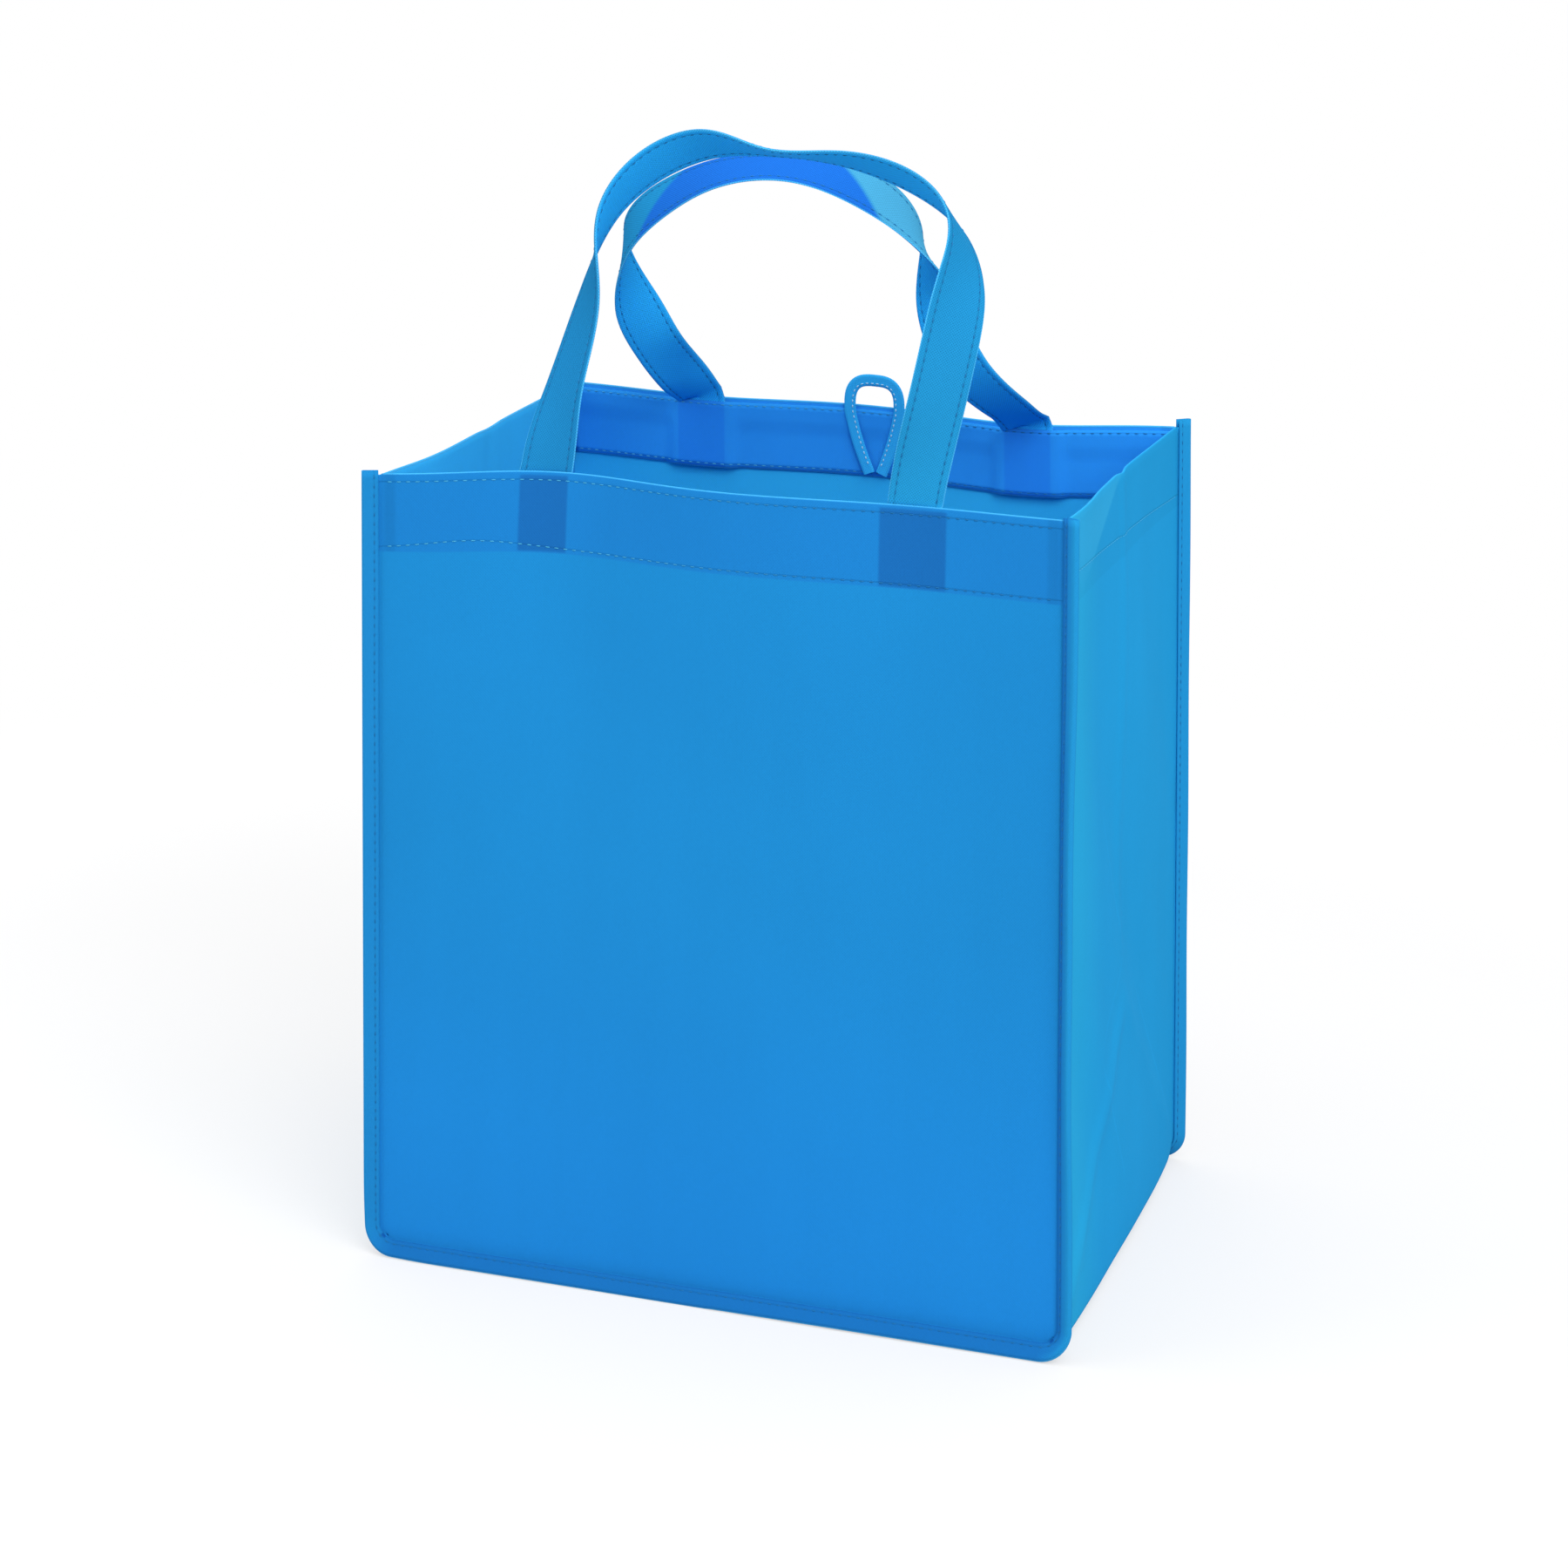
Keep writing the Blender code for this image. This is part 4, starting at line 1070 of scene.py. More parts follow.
def cloth_material(name, base, patches=(), shades=(), seams=(), dot_pitch=1.3 * MM,
                   dot_shade=0.10, dot_height=0.6, cloud=0.10, streak=0.06, seam_shade=0.18):
    """Non-woven cloth: bonded dots in staggered rows, fibres, slow change of tone.

    The dots are (sin(k(u + v)) sin(k(u - v))) squared, which peaks in staggered rows. patches
    are (mask maker, colour) pairs for places of another colour, most of them painted light or
    shade; shades are (mask maker, amount) pairs for darker places, painted shade, or lighter ones,
    a painted highlight, where the amount is below 0; and seams are mask makers of the lines where
    a row of stitches draws the cloth in, painted darker there as shade in the groove.
    """
    nodes = Nodes(name)
    u, v = nodes.flat_place()
    turn = math.pi / dot_pitch
    one_way = nodes.math("SINE", nodes.math("MULTIPLY", nodes.math("ADD", u, v), turn))
    other_way = nodes.math("SINE", nodes.math("MULTIPLY", nodes.math("SUBTRACT", u, v), turn))
    dots = nodes.math("POWER", nodes.math("ABSOLUTE", nodes.math("MULTIPLY", one_way,
                                                                 other_way)), 2.0)
    place_in_bag = nodes.object_place()
    cloudy = nodes.noise(place_in_bag, 9.0, 3.0)
    fibre = nodes.noise(place_in_bag, 900.0, 4.0)
    along = nodes.add("ShaderNodeCombineXYZ")
    nodes.feed(along.inputs[0], nodes.math("MULTIPLY", u, 45.0))
    nodes.feed(along.inputs[1], nodes.math("MULTIPLY", v, 3.0))
    streaks = nodes.noise(along.outputs[0], 1.0, 3.0)
    tone = nodes.math("MULTIPLY_ADD", nodes.math("SUBTRACT", cloudy, 0.5), cloud, 1.0)
    tone = nodes.math("MULTIPLY_ADD", nodes.math("SUBTRACT", streaks, 0.5), streak, tone)
    tone = nodes.math("MULTIPLY_ADD", nodes.math("SUBTRACT", dots, 0.25), -dot_shade, tone)
    tone = nodes.math("MULTIPLY_ADD", nodes.math("SUBTRACT", fibre, 0.5), 0.10, tone)
    height = nodes.math("MULTIPLY_ADD", fibre, 0.3, nodes.math("MULTIPLY", dots, -dot_height))
    # Painted shade, or a painted highlight where the amount is below 0.
    for make_mask, amount in shades:
        tone = nodes.math("MULTIPLY", tone,
                          nodes.math("MULTIPLY_ADD", make_mask(nodes, u, v), -amount, 1.0))
    # Painted shade in the groove along each stitched line, besides a dip in the bump.
    for make_mask in seams:
        line = make_mask(nodes, u, v)
        tone = nodes.math("MULTIPLY", tone, nodes.math("MULTIPLY_ADD", line, -seam_shade, 1.0))
        height = nodes.math("MULTIPLY_ADD", line, -2.0, height)
    cloth = (*base, 1.0)
    # Patches of another colour, most of them painted light or shade.
    for make_mask, patch in patches:
        cloth = nodes.mix(make_mask(nodes, u, v), cloth, (*patch, 1.0))
    grey = nodes.add("ShaderNodeCombineXYZ")
    for socket in grey.inputs:
        nodes.feed(socket, tone)
    cloth = nodes.mix(1.0, cloth, grey.outputs[0], "MULTIPLY")
    nodes.feed(nodes.shader.inputs["Base Color"], cloth)
    nodes.shader.inputs["Roughness"].default_value = 0.85
    nodes.shader.inputs["Specular IOR Level"].default_value = 0.02
    bump = nodes.add("ShaderNodeBump")
    bump.inputs["Strength"].default_value = 0.4
    bump.inputs["Distance"].default_value = 0.1 * MM
    nodes.feed(bump.inputs["Height"], height)
    nodes.feed(nodes.shader.inputs["Normal"], bump.outputs[0])
    return nodes.material


def band_mask(axis, low, high, soft, then=None):
    """Mask maker: a band across u or v, with soft edges, inside another mask if given."""
    def mask(nodes, u, v):
        band = nodes.band(u if axis == "u" else v, low, high, soft)
        return nodes.math("MULTIPLY", band, then(nodes, u, v)) if then else band
    return mask


def line_mask(axis, at, half=0.35 * MM, soft=0.3 * MM):
    """Mask maker: a thin soft line across u or v."""
    return band_mask(axis, at - half, at + half, soft)


def crease_mask(start, end, half=0.5 * MM, soft=0.9 * MM):
    """Mask maker: a thin soft line between two flat places, fading out towards its ends.

    It is the product of two bands: one of the distance from the line, one along it.
    """
    (u0, v0), (u1, v1) = start, end
    run = math.hypot(u1 - u0, v1 - v0)
    along_u, along_v = (u1 - u0) / run, (v1 - v0) / run

    def mask(nodes, u, v):
        from_u, from_v = nodes.math("SUBTRACT", u, u0), nodes.math("SUBTRACT", v, v0)
        along = nodes.math("MULTIPLY_ADD", from_u, along_u,
                           nodes.math("MULTIPLY", from_v, along_v))
        away = nodes.math("MULTIPLY_ADD", from_u, along_v,
                          nodes.math("MULTIPLY", from_v, -along_u))
        return nodes.math("MULTIPLY", nodes.band(away, -half, half, soft),
                          nodes.band(along, 0.1 * run, 0.9 * run, 0.1 * run))
    return mask


def slanted_mask(low, low_slope, high, high_slope, soft):
    """Mask maker: the run between two slanted lines, v = low + slope * u and the other."""
    def mask(nodes, u, v):
        past_low = nodes.math("MULTIPLY_ADD", u, -low_slope, v)
        past_high = nodes.math("MULTIPLY_ADD", u, -high_slope, v)
        return nodes.math("MULTIPLY", nodes.band(past_low, low, 100.0, soft),
                          nodes.band(past_high, -100.0, high, soft))
    return mask


def thread_material(name, base, right=None, change=(-0.10, 0.08)):
    """Slightly glossy twisted thread; right is its colour past a change along X, painted shade
    where the stitches lie in shadow.
    """
    nodes = Nodes(name)
    place_in_bag = nodes.object_place()
    thread = (*base, 1.0)
    if right is not None:
        split = nodes.add("ShaderNodeSeparateXYZ")
        nodes.feed(split.inputs[0], place_in_bag)
        middle, half = sum(change) / 2, (change[1] - change[0]) / 2
        thread = nodes.mix(nodes.band(split.outputs[0], middle, 1.0, half), thread,
                           (*right, 1.0))
    twist = nodes.noise(place_in_bag, 1500.0)
    grey = nodes.add("ShaderNodeCombineXYZ")
    for socket in grey.inputs:
        nodes.feed(socket, nodes.math("MULTIPLY_ADD", twist, 0.35, 0.8))
    nodes.feed(nodes.shader.inputs["Base Color"],
               nodes.mix(1.0, thread, grey.outputs[0], "MULTIPLY"))
    nodes.shader.inputs["Roughness"].default_value = 0.6
    nodes.shader.inputs["Specular IOR Level"].default_value = 0.2
    return nodes.material


def board_material(name, base):
    """Smooth board with a faint grain."""
    nodes = Nodes(name)
    grain = nodes.noise(nodes.object_place(), 60.0, 5.0)
    nodes.feed(nodes.shader.inputs["Base Color"],
               nodes.mix(grain, (*[0.85 * c for c in base], 1.0), (*base, 1.0)))
    nodes.shader.inputs["Roughness"].default_value = 0.55
    return nodes.material


def material_once(name, make, *args, **kwargs):
    """Material by its name, made the first time that it is asked for.

    The names differ from the frame's own finishes, which stand under the slots' names.
    """
    return bpy.data.materials.get(name) or make(name, *args, **kwargs)


def row_rise(bag, x, side):
    """How far the lower hem row strays up at places x of the flat panel: one bell."""
    return bag.row_rise * bell((x + 0.37 * bag.width) / (0.09 * bag.width)) * (side == FRONT)


def straying_row(bag, side):
    """Mask maker: the lower hem row's line with its rise."""
    at = bag.height - bag.lower_row
    straight = line_mask("v", at)
    if side != FRONT:
        return straight

    def mask(nodes, u, v):
        away = nodes.math("DIVIDE", nodes.math("ADD", u, 0.37 * bag.width), 0.09 * bag.width)
        rise = nodes.math("POWER", math.e, nodes.math("MULTIPLY", nodes.math("POWER", away, 2.0),
                                                      -1.0))
        return straight(nodes, u, nodes.math("MULTIPLY_ADD", rise, -bag.row_rise, v))
    return mask


def wall_patches(bag, side, colours):
    """Foot, painted shade of hem and strap ghosts, painted light of the flap and painted highlight
    of the mouth edge, on a wall's outer face.
    """
    narrow = bag.width / bag.mouth_width
    hem = band_mask("v", bag.height - bag.facing_depth, 1.0, 0.5 * MM)
    ghost_low = bag.height - bag.facing_depth + 0.5 * MM
    # Painted shade over the hem band, where the facing behind lets less light through.
    patches = [(band_mask("v", -1.0, 0.13, 0.10), colours.panel_low), (hem, colours.panel_hem)]
    # Painted shade where each strap end behind the wall shows through.
    for centre, width in zip(bag.straps[side], bag.ghosts[side]):
        low, high = (centre - width / 2) * narrow, (centre + width / 2) * narrow
        ghost = band_mask("v", ghost_low, bag.height - 1.5 * MM, 0.8 * MM)
        patches.append((band_mask("u", low, high, 0.9 * MM, ghost), colours.panel_ghost_shade))
    # Painted highlight along the mouth fold.
    fold = band_mask("v", bag.height - 0.2 * MM, bag.height + 1.0 * MM, 0.3 * MM)
    # Painted light on the turned-in flap, which is seen from inside.
    turned_in = band_mask("v", bag.height + 1.2 * MM, 1.0, 0.2 * MM)
    return [*patches, (turned_in, colours.facing), (fold, colours.rim_highlight)]


def wall_shades(bag):
    """Painted shade: darker along the base seam, and where the side's hem lies under the panel's
    hem and lets less light through.
    """
    hem = band_mask("v", bag.height - bag.facing_depth, 1.0, 0.5 * MM)
    edge = bag.width / 2
    foot = band_mask("v", -1.0, bag.seam_height + 4 * MM, 6 * MM)
    return [(foot, 0.10)] + [
        (band_mask("u", *sorted((sign * (edge - 8 * MM), sign * (edge - 3 * MM))), 1.2 * MM,
                   hem), 0.10) for sign in (-1, 1)]


def hem_seams(bag, side):
    """The two stitched lines of the mouth hem."""
    return [line_mask("v", bag.height - bag.upper_row), straying_row(bag, side)]


class BAG_OT_panels(bpy.types.Operator):
    """Make the front and the back wall with their fin edges and mouth folds"""

    bl_idname = "bag.panels"
    bl_label = "Panels"

    def execute(self, context):
        bag = plan(context)
        colours = context.scene.bag_colours
        for side, word in SIDES.items():
            outer = material_once(
                f"{word}_panel_nonwoven", cloth_material, colours.panel,
                patches=wall_patches(bag, side, colours), shades=wall_shades(bag),
                seams=hem_seams(bag, side))
            # Painted light: the inside colour is brighter, for light coming through the cloth.
            inner = material_once("panel_inside_nonwoven", cloth_material, colours.panel_inner_lit,
                                  dot_shade=0.16)
            grid, uv, keep = panel_surface(bag, side)
            obj = cloth_sheet(f"{word}_panel_cloth", grid, uv, bag.fabric, keep,
                              faces=(outer, inner)[::-side])
            flat = (bag.width + 2 * bag.fin, bag.side_height + bag.fin + bag.panel_fold)
            place(obj, "panel_cloth", f"{word}_panel", flat=flat)
        return {"FINISHED"}


class BAG_OT_gusset(bpy.types.Operator):
    """Make the strip that is side, base and side"""

    bl_idname = "bag.gusset"
    bl_label = "Gusset"

    def execute(self, context):
        bag = plan(context)
        colours = context.scene.bag_colours
        grid, uv, keep = gusset_surface(bag)
        first, last = float(uv[..., 1].min()), float(uv[..., 1].max())
        mouths = (first + bag.gusset_hem, last - bag.gusset_hem)
        hems = [band_mask("v", low, high, 0.5 * MM) for low, high in
                ((mouths[0], mouths[0] + bag.gusset_hem), (mouths[1] - bag.gusset_hem, mouths[1]))]
        flaps = [band_mask("v", low, high, 0.2 * MM) for low, high in
                 ((-1.0, mouths[0]), (mouths[1], last + 1.0))]
        slope = -bag.side_rise / bag.depth
        row = mouths[1] - bag.lower_row + bag.side_rise / 2
        seams = [line_mask("v", mouths[0] + bag.lower_row),
                 slanted_mask(row - 0.35 * MM, slope, row + 0.35 * MM, slope, 0.3 * MM)]
        # Painted light on the facet where the right mouth tilts up to the light.
        facet = slanted_mask(mouths[1], 0.40, mouths[1], 0.0, 1.5 * MM)
        upper_part = band_mask("v", mouths[1] - 0.03, mouths[1], 12 * MM, facet)
        # Painted sheen towards the front seam, and the painted light of the facet.
        fronts = [(band_mask("u", -1.0, -0.3 * bag.depth, 0.15 * bag.depth),
                   colours.gusset_front_sheen), (upper_part, colours.gusset_facet_lit)]
        # Painted highlight: light streaks along the creases, as shades below 0.
        creases = [(crease_mask(start, end), -0.07)
                   for start, end in zip(SIDE_CREASES[::2], SIDE_CREASES[1::2])]
        outer = material_once(
            "gusset_nonwoven", cloth_material, colours.gusset,
            # Painted shade: the hems a little darker where the turned-in layer lets less light
            # through.
            shades=[(hem, 0.04) for hem in hems] + creases,
            # Painted light on the turned-in flaps, seen from inside.
            patches=fronts + [(flap, colours.gusset_inner_lit) for flap in flaps]
            # Painted highlight along each mouth fold.
            + [(line_mask("v", mouth, 0.5 * MM), colours.rim_highlight) for mouth in mouths], seams=seams)
        # Painted light: the inside colour is brighter, for light coming through the cloth.
        inner = material_once("gusset_inside_nonwoven", cloth_material, colours.gusset_inner_lit)
        obj = cloth_sheet("gusset_cloth", grid, uv, bag.fabric, keep, faces=(inner, outer))
        flat = (bag.depth + 2 * bag.fin, 2 * (bag.side_height + bag.gusset_hem) + bag.width)
        place(obj, "gusset_cloth", "gusset_strip", flat=flat, held="folded")
        return {"FINISHED"}


class BAG_OT_bindings(bpy.types.Operator):
    """Make the folded strips over the seam fins"""

    bl_idname = "bag.bindings"
    bl_label = "Bindings"

    def execute(self, context):
        bag = plan(context)
        colours = context.scene.bag_colours
        for side, word in SIDES.items():
            grid, uv = binding_surface(bag, side)
            width = float(uv[..., 0].max())
            rows = (bag.binding_inset, width - bag.binding_inset)
            run = float(uv[..., 1].max())
            corner_at = bag.side_height + bag.tails[side] - 0.2 * bag.corner
            arm = bag.binding_turn
            right_leg = band_mask("v", run - corner_at, 10.0, 8 * MM)
            # Painted highlight along the binding's fold.
            fold = line_mask("u", width / 2, 0.5 * MM, 0.4 * MM)
            if side == FRONT:
                # Painted shade along the front's base edge, under the bag.
                bands = [(band_mask("v", corner_at, run - corner_at, 8 * MM),
                          colours.binding_base_shade), (fold, colours.rim_highlight),
                         # Painted shade on the right leg beside its panel, painted light towards
                         # its fold.
                         (band_mask("u", 0.0, 0.45 * arm, 0.8 * MM, right_leg),
                          colours.binding_shade),
                         (band_mask("u", 0.75 * arm, 1.5 * arm, 1.2 * MM, right_leg),
                          colours.binding_lit)]
            else:
                # Painted light on the back binding's right leg.
                bands = [(fold, colours.rim_highlight), (right_leg, colours.binding_lit)]
            # Painted shade in the small tucks at the lower corners.
            bands += [(band_mask("v", at - 1.2 * MM, at + 1.2 * MM, 0.6 * MM,
                                 band_mask("u", -MM, 1.6 * MM, 0.6 * MM)), colours.tuck)
                      for at in (corner_at, run - corner_at)]
            cloth = material_once(
                f"{word}_binding_nonwoven", cloth_material, colours.binding,
                patches=bands, seams=[line_mask("u", row) for row in rows], seam_shade=0.10)
            obj = cloth_sheet(f"{word}_binding_cloth", grid, uv, bag.fabric, faces=(cloth,))
            flat = (float(uv[..., 0].max()), float(uv[..., 1].max()))
            place(obj, "binding_cloth", f"{word}_edge_binding", flat=flat, held="folded",
                  rests_on=[f"{word}_panel_cloth", "gusset_cloth"])
        return {"FINISHED"}


class BAG_OT_facings(bpy.types.Operator):
    """Make the bands that cover the strap ends inside the mouth"""

    bl_idname = "bag.facings"
    bl_label = "Facings"

    def execute(self, context):
        bag = plan(context)
        for side, word in SIDES.items():
            colours = context.scene.bag_colours
            grid, uv = facing_surface(bag, side)
            narrow = bag.width / bag.mouth_width
            # Painted shade where the strap ends behind the facing show through.
            ghosts = [band_mask("u", (centre - width / 2) * narrow,
                                (centre + width / 2) * narrow, 0.6 * MM)
                      for centre, width in zip(bag.straps[side], bag.ghosts[side])]
            # Painted highlight along the facing's lower edge.
            edge = line_mask("v", bag.height - bag.facing_depth, 0.5 * MM)
            # Painted light: the facing seen from inside is brighter, for light coming through the
            # cloth.
            cloth = material_once(
                f"{word}_facing_nonwoven", cloth_material, colours.facing, dot_shade=0.14,
                patches=[(ghost, colours.facing_ghost_shade) for ghost in ghosts]
                + [(edge, colours.rim_highlight)], seams=hem_seams(bag, side))
            obj = cloth_sheet(f"{word}_facing_cloth", grid, uv, bag.fabric, faces=(cloth,))
            flat = (bag.width, bag.facing_depth - bag.facing_drop)
            place(obj, "facing_cloth", f"{word}_hem_facing", flat=flat, held="laid",
                  rests_on=[f"{word}_panel_cloth"])
        return {"FINISHED"}


class BAG_OT_handles(bpy.types.Operator):
    """Make the two twisted strap handles"""

    bl_idname = "bag.handles"
    bl_label = "Handles"

    def execute(self, context):
        bag = plan(context)
        colours = context.scene.bag_colours
        for side, word in SIDES.items():
            surface, uv, _ = strap_middle(bag, side)
            row = bag.strap_width / 2 - bag.strap_inset
            edge = bag.strap_width / 2
            # Painted highlight along both edges of the strap.
            rims = [band_mask("u", *sorted((sign * (edge - 0.4 * MM), sign * (edge + MM))),
                              0.3 * MM) for sign in (-1, 1)]
            # Painted shade on the back handle's arch where it faces down, a painted highlight on
            # its shoulder.
            arch = [(slanted_mask(0.1755, 1.4, 0.285, -1.28, 3 * MM), colours.strap_arch),
                    (slanted_mask(0.285, -1.28, 0.335, 0.0, 3 * MM), colours.strap_shoulder)]
            # Painted light and shade on the front handle: left leg shaded, right leg and arch lit.
            legs = [(band_mask("v", -1.0, LEG_END, 0.05), colours.strap_left),
                    (band_mask("v", LEG_START, 1.0, 0.05), colours.strap_right),
                    (band_mask("v", ARCH_START, ARCH_END, 0.05), colours.strap_top)]
            # The inside colour is painted light: brighter, for light coming through the strap.
            outer, inner = (material_once(
                name, cloth_material, base,
                patches=patches + [(rim_highlight, colours.rim_highlight) for rim_highlight in rims],
                seams=[line_mask("u", -row), line_mask("u", row)], dot_shade=0.42,
                dot_height=1.4) for name, base, patches in (
                    (f"{word}_strap_nonwoven", colours.strap, arch if side == BACK else legs),
                    ("strap_inside_nonwoven", colours.strap_inner, [])))
            obj = strap_solid(f"{word}_strap", surface, uv, bag.strap_thickness,
                              (outer, inner)[::side], groove=0.16 * MM,
                              groove_at=1 - 2 * bag.strap_inset / bag.strap_width)
            flat = (bag.strap_width, float(uv[..., 1].max()))
            place(obj, "strap_cloth", f"{word}_handle", flat=flat, held="folded",
                  rests_on=[f"{word}_panel_cloth"])
        return {"FINISHED"}


class BAG_OT_hang_loop(bpy.types.Operator):
    """Make the small tape loop inside the back hem"""

    bl_idname = "bag.hang_loop"
    bl_label = "Hang loop"

    def execute(self, context):
        bag = plan(context)
        surface, uv = loop_middle(bag)
        cloth = material_once("loop_nonwoven", cloth_material, context.scene.bag_colours.loop,
                              dot_shade=0.30)
        obj = strap_solid("hang_loop_tape", surface, uv, bag.tape_thickness, (cloth,),
                          round_share=0.5)
        place(obj, "strap_cloth", "hang_loop")
        normal = unit(np.cross(np.gradient(surface, axis=0), np.gradient(surface, axis=1)))
        rows = []
        column = int(round(0.74 * (surface.shape[1] - 1)))
        for sign in (-1, 1):
            line = surface[2:-2, column] + sign * normal[2:-2, column] * bag.tape_thickness / 2
            rows.append(stitch_row(bag, line, sign * normal[2:-2, column], pitch=2.7 * MM,
                                   stitch=1.8 * MM, radius=0.3 * MM))
        stitches = stitches_object("hang_loop_stitches", rows)
        stitches.data.materials.append(material_once(
            "loop_thread", thread_material, context.scene.bag_colours.loop_thread))
        place(stitches, "strap_cloth")
        return {"FINISHED"}


class BAG_OT_board(bpy.types.Operator):
    """Give the loose base board its finish"""

    bl_idname = "bag.board"
    bl_label = "Base board"

    def execute(self, context):
        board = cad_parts["base_board"]
        material = material_once("board_finish", board_material, context.scene.bag_colours.board)
        board.data.materials.clear()
        board.data.materials.append(material)
        return {"FINISHED"}


class BAG_OT_stitches(bpy.types.Operator):
    """Sew the hems, bindings and straps with rows of stitches"""

    bl_idname = "bag.stitches"
    bl_label = "Stitches"

    def execute(self, context):
        bag = plan(context)
        colours = context.scene.bag_colours
        # Hem rows: a painted highlight on the stitches at the left, painted shade past the change
        # along X.
        light = material_once("hem_thread", thread_material, colours.thread,
                              right=colours.shaded_thread)
        # Painted shade: binding and strap stitches sunk in their groove.
        dark = material_once("seam_thread", thread_material, colours.shaded_thread)
        pale = material_once("side_thread", thread_material, colours.side_thread)
        for side, word in SIDES.items():
            for name, thread, parts in (
                    (f"{word}_hem_stitches", light, self.hem_rows(bag, side)),
                    (f"{word}_binding_stitches", dark, self.binding_rows(bag, side)),
                    (f"{word}_strap_stitches", dark, self.strap_rows(bag, side))):
                obj = stitches_object(name, parts)
                obj.data.materials.append(thread)
                place(obj, "binding_cloth")
        obj = stitches_object("gusset_hem_stitches", self.gusset_rows(bag))
        obj.data.materials.append(pale)
        place(obj, "binding_cloth")
        return {"FINISHED"}

    def hem_rows(self, bag, side):
        """Two rows round the mouth, seen on the wall and on the facing."""
        rows = []
        half = bag.width / 2 - 3 * MM
        x = spaced(-half, half, 2 * MM)
        face = np.array([0.0, side, 0.0])
        for below in (bag.upper_row, bag.lower_row):
            rise = row_rise(bag, x, side) if below == bag.lower_row else 0.0
            z = np.full_like(x, bag.height - below) + rise
            outer = wall_point(bag, x, z, side, -bag.fabric / 2)
            rows.append(stitch_row(bag, outer, np.broadcast_to(face, outer.shape)))
            inner_depth = facing_layer(bag, x, z, side) + bag.fabric / 2
            inner = wall_point(bag, x, z, side, inner_depth)
            rows.append(stitch_row(bag, inner, np.broadcast_to(-face, inner.shape)))
        return rows

    def gusset_rows(self, bag):
        """One row round each side's mouth hem, seen on both faces."""
        grid, _, _ = gusset_surface(bag)
        top = bag.side_height - bag.fold_radius
        count = len(spaced(top - bag.gusset_hem, top, bag.step))
        hem_rows = 3 + count
        row = int(round((bag.gusset_hem - bag.lower_row) / bag.step))
        rows = []
        for sign, wall, flap in ((-1, hem_rows + count - 1 - row, row),
                                 (1, len(grid) - hem_rows - count + row, len(grid) - 1 - row)):
            outer, inner = grid[wall, 4:-4], grid[flap, 4:-4]
            if sign > 0:
                rise = bag.side_rise / bag.step * np.linspace(1, 0, len(outer))
                outer = grid_between(grid[:, 4:-4], wall + rise)
            out = np.array([sign, 0.0, 0.0])
            rows.append(stitch_row(bag, outer + out * bag.fabric / 2,
                                   np.broadcast_to(out, outer.shape)))
            rows.append(stitch_row(bag, inner - out * bag.fabric / 2,
                                   np.broadcast_to(-out, inner.shape)))
        return rows

    def binding_rows(self, bag, side):
        """One row near the binding's edges, on both faces of the fin."""
        seam, along, square, _ = binding_line(bag, side, bag.tails[side] - 0.5 * MM)
        reach = bag.binding_start + bag.binding_inset
        layer = bag.binding_layer + bag.fabric / 2
        return [stitch_row(bag, seam + along * reach + square * layer * sign, square * sign)
                for sign in (-1, 1)]

    def strap_rows(self, bag, side):
        """A row along each edge of the strap, on both faces, over its free length."""
        surface, _, end_rows = strap_middle(bag, side)
        normal = unit(np.cross(np.gradient(surface, axis=0), np.gradient(surface, axis=1)))
        place_across = bag.strap_inset / bag.strap_width * (surface.shape[1] - 1)
        column = int(round(place_across))
        rows = []
        free = slice(end_rows - 1, surface.shape[0] - end_rows + 1)
        for index in (column, surface.shape[1] - 1 - column):
            for sign in (-1, 1):
                out = sign * normal[free, index]
                line = surface[free, index] + out * (bag.strap_thickness / 2 - 0.10 * MM)
                rows.append(stitch_row(bag, line, out))
        return rows


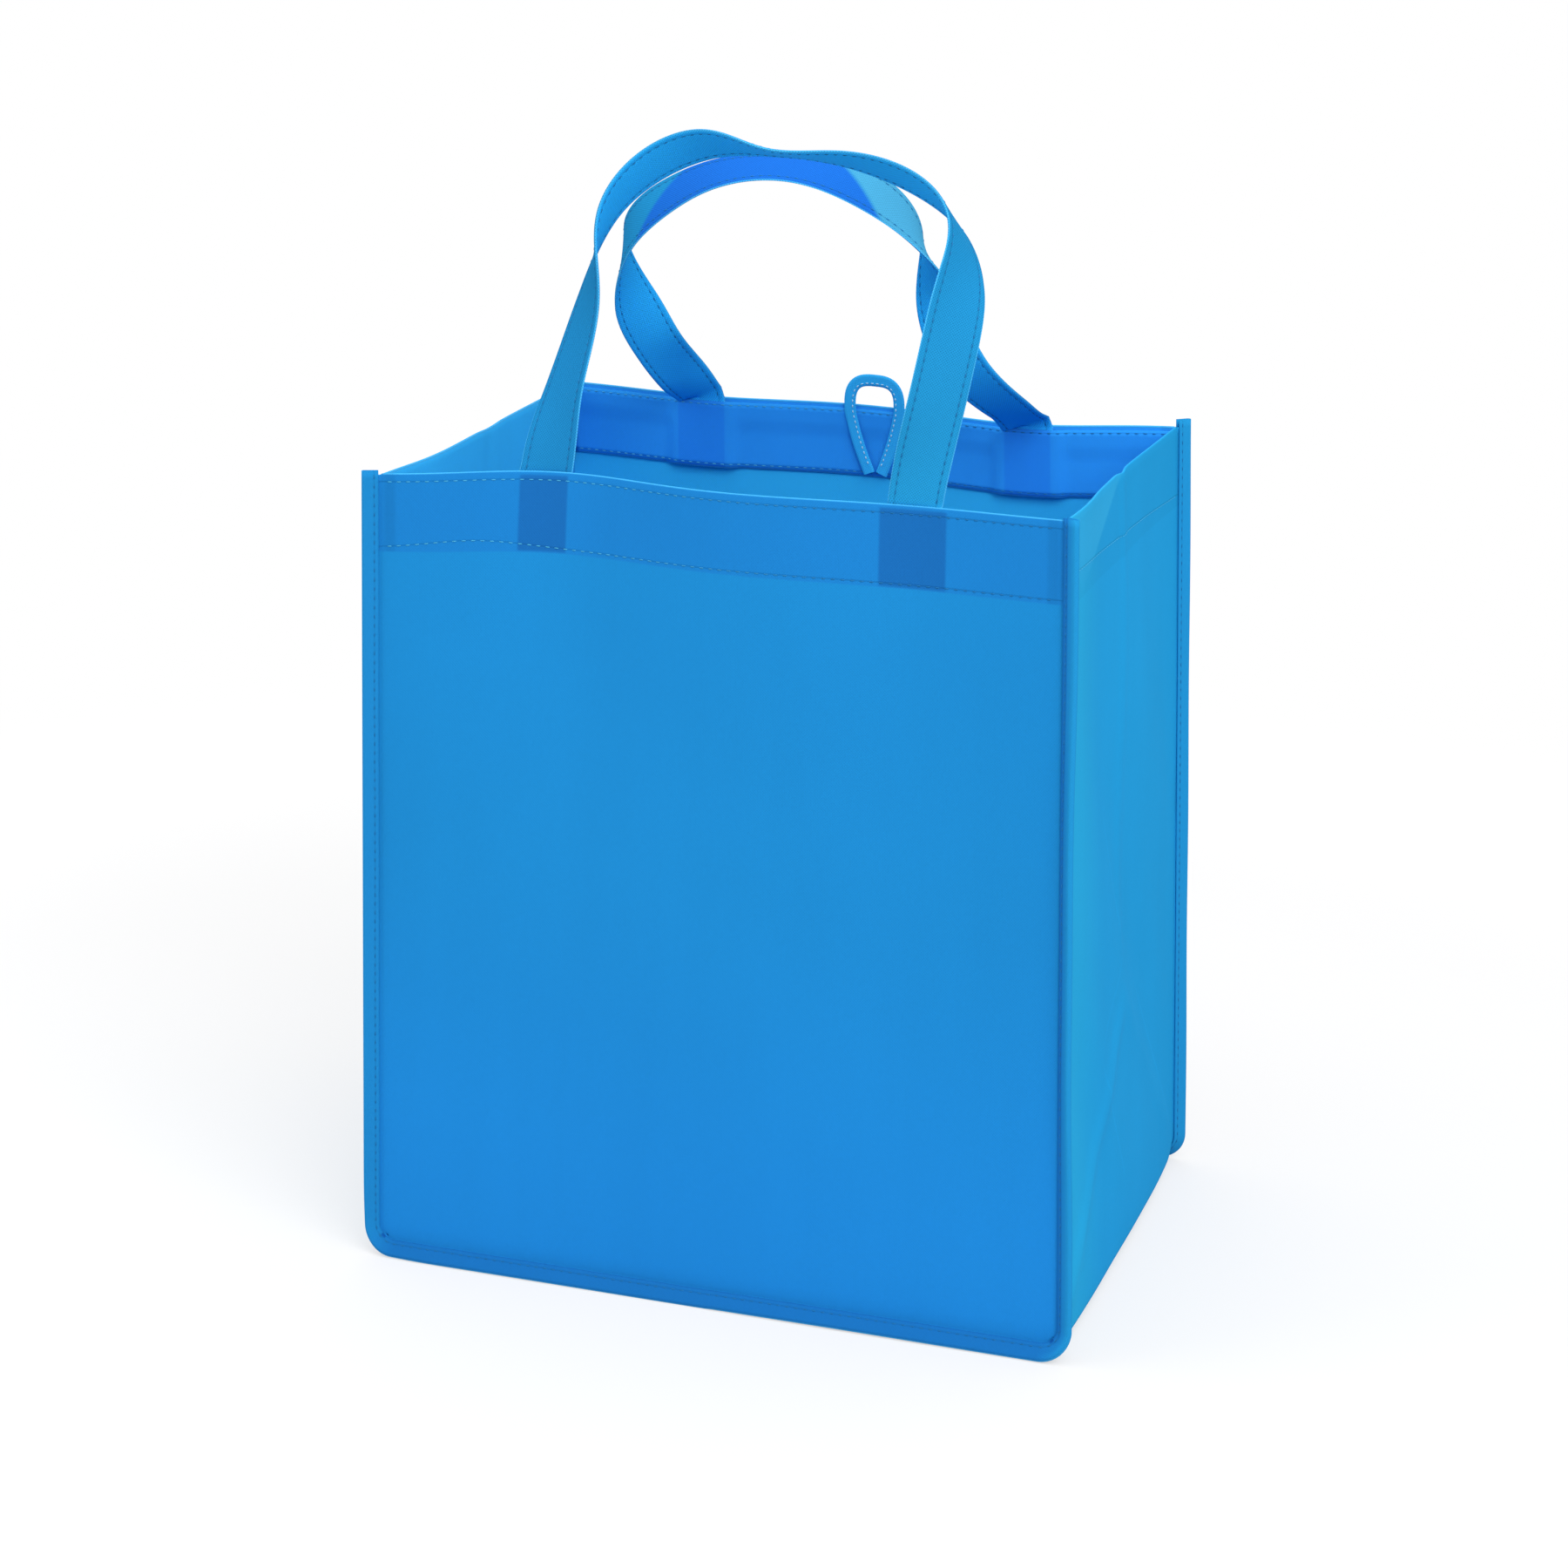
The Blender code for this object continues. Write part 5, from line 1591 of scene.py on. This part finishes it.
class BAG_OT_stage(bpy.types.Operator):
    """Set the pale floor, the soft lamps and the camera at the photograph's angle"""

    bl_idname = "bag.stage"
    bl_label = "Stage"

    def execute(self, context):
        stage = context.scene.bag_stage
        self.make_floor(context, stage)
        self.make_lights(context, stage)
        self.make_camera(context, stage)
        context.scene.view_settings.view_transform = "Standard"
        return {"FINISHED"}

    def make_floor(self, context, stage):
        """Flat floor that keeps the bag's shadow and goes over to plain white further out."""
        half = stage.floor_size
        corners = np.array([(-half, -half, 0), (half, -half, 0), (half, half, 0),
                            (-half, half, 0)], dtype=float)
        floor = mesh_object("floor", corners, np.array([[0, 1, 2, 3]]))
        nodes = Nodes("floor")
        tree = nodes.tree
        nodes.feed(nodes.shader.inputs["Base Color"], (*stage.floor, 1.0))
        nodes.shader.inputs["Roughness"].default_value = 0.9
        path = nodes.add("ShaderNodeLightPath")
        white = nodes.add("ShaderNodeEmission")
        mix = nodes.add("ShaderNodeMixShader")
        split = nodes.add("ShaderNodeSeparateXYZ")
        nodes.feed(split.inputs[0], nodes.object_place())
        from_bag = nodes.math("SQRT", nodes.math(
            "MULTIPLY_ADD", split.outputs[0], split.outputs[0],
            nodes.math("MULTIPLY", split.outputs[1], split.outputs[1])))
        far = nodes.band(from_bag, 0.75 * stage.shadow_reach, 100.0, 0.25 * stage.shadow_reach)
        glow = nodes.math("MULTIPLY_ADD", far, 1.0 - stage.floor_glow, stage.floor_glow)
        nodes.feed(white.inputs["Strength"], glow)
        straight = self.seen_straight(nodes, path)
        seen = nodes.math("MULTIPLY", straight, nodes.math("MULTIPLY_ADD", far, 0.5, 0.5))
        nodes.feed(mix.inputs[0], seen)
        tree.links.new(nodes.shader.outputs[0], mix.inputs[1])
        tree.links.new(white.outputs[0], mix.inputs[2])
        tree.links.new(mix.outputs[0], tree.nodes["Material Output"].inputs[0])
        floor.data.materials.append(nodes.material)

    def seen_straight(self, nodes, path):
        """1 for rays from the camera, and for those by way of a gloss or glass."""
        return nodes.math("MAXIMUM", path.outputs["Is Camera Ray"], nodes.math(
            "MAXIMUM", path.outputs["Is Glossy Ray"], path.outputs["Is Transmission Ray"]))

    def make_lights(self, context, stage):
        """Even white sky, a large soft lamp at the upper right and a fill at the left."""
        world = bpy.data.worlds.new("studio")
        world.use_nodes = True
        sky = world.node_tree.nodes["Background"]
        sky.inputs[0].default_value = (1, 1, 1, 1)
        nodes = Nodes.of(world.node_tree)
        straight = self.seen_straight(nodes, nodes.add("ShaderNodeLightPath"))
        nodes.feed(sky.inputs[1], nodes.math("MULTIPLY_ADD", straight, 1.0 - stage.sky,
                                             stage.sky))
        context.scene.world = world
        target = np.array([0.0, 0.0, 0.25])
        for name, spot, size, power in (("key", (1.3, -1.4, 1.9), 1.6, stage.key),
                                        ("fill", (-1.6, -1.0, 1.2), 1.4, stage.fill),
                                        ("top", (-0.1, 0.05, 1.9), 2.4, stage.top)):
            lamp = bpy.data.lights.new(name, "AREA")
            lamp.size = size
            lamp.energy = power
            obj = bpy.data.objects.new(name, lamp)
            back = unit(np.array(spot) - target)
            right = unit(np.cross((0, 0, 1), back))
            self.set_frame(obj, right, np.cross(back, right), back, spot)
            context.scene.collection.objects.link(obj)

    def make_camera(self, context, stage):
        """Camera from its place, azimuth, elevation and roll."""
        a, e, r = stage.azimuth, stage.elevation, stage.roll
        back = np.array([math.sin(a) * math.cos(e), -math.cos(a) * math.cos(e), math.sin(e)])
        level = np.array([math.cos(a), math.sin(a), 0.0])
        up = np.cross(back, level)
        right = level * math.cos(r) + up * math.sin(r)
        top = up * math.cos(r) - level * math.sin(r)
        camera = bpy.data.objects.new("camera", bpy.data.cameras.new("camera"))
        camera.data.sensor_width = 36
        camera.data.lens = stage.lens
        self.set_frame(camera, right, top, back, stage.eye)
        context.scene.collection.objects.link(camera)
        context.scene.camera = camera

    def set_frame(self, obj, right, up, back, spot):
        """Turns an object by its three axes and puts it in its place."""
        matrix = np.eye(4)
        matrix[:3, :3] = np.column_stack([right, up, back])
        matrix[:3, 3] = spot
        obj.matrix_world = Matrix(matrix.tolist())


OPERATORS = (BAG_OT_panels, BAG_OT_gusset, BAG_OT_bindings, BAG_OT_facings, BAG_OT_handles,
             BAG_OT_hang_loop, BAG_OT_board, BAG_OT_stitches, BAG_OT_stage)


class BAG_PT_sidebar(bpy.types.Panel):
    """Sizes, colours and steps of the bag"""

    bl_idname = "BAG_PT_sidebar"
    bl_label = "Tote bag"
    bl_space_type = "VIEW_3D"
    bl_region_type = "UI"
    bl_category = "Tote bag"

    def draw(self, context):
        """Lists each group of sizes and colours, and below them the operators."""
        for group in GROUPS:
            box = self.layout.box()
            box.label(text=GROUPS[group].__doc__)
            settings = getattr(context.scene, group)
            for key in settings.bl_rna.properties.keys():
                if key not in {"rna_type", "name"}:
                    box.prop(settings, key)
        for operator in OPERATORS:
            self.layout.operator(operator.bl_idname)


def register():
    """Adds the groups of properties to the scene, the operators and the panel."""
    for group in GROUPS.values():
        bpy.utils.register_class(group)
    for name, group in GROUPS.items():
        setattr(bpy.types.Scene, name, bpy.props.PointerProperty(type=group))
    for operator in OPERATORS:
        bpy.utils.register_class(operator)
    bpy.utils.register_class(BAG_PT_sidebar)


def unregister():
    """Takes the classes away again, the last one first."""
    bpy.utils.unregister_class(BAG_PT_sidebar)
    for operator in reversed(OPERATORS):
        bpy.utils.unregister_class(operator)
    for name in GROUPS:
        delattr(bpy.types.Scene, name)
    for group in reversed(list(GROUPS.values())):
        bpy.utils.unregister_class(group)


def main():
    """Registers the classes and makes every piece."""
    register()
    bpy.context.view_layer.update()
    bpy.ops.bag.panels()
    bpy.ops.bag.gusset()
    bpy.ops.bag.bindings()
    bpy.ops.bag.facings()
    bpy.ops.bag.handles()
    bpy.ops.bag.hang_loop()
    bpy.ops.bag.board()
    bpy.ops.bag.stitches()
    bpy.ops.bag.stage()


if __name__ == "__main__":
    main()
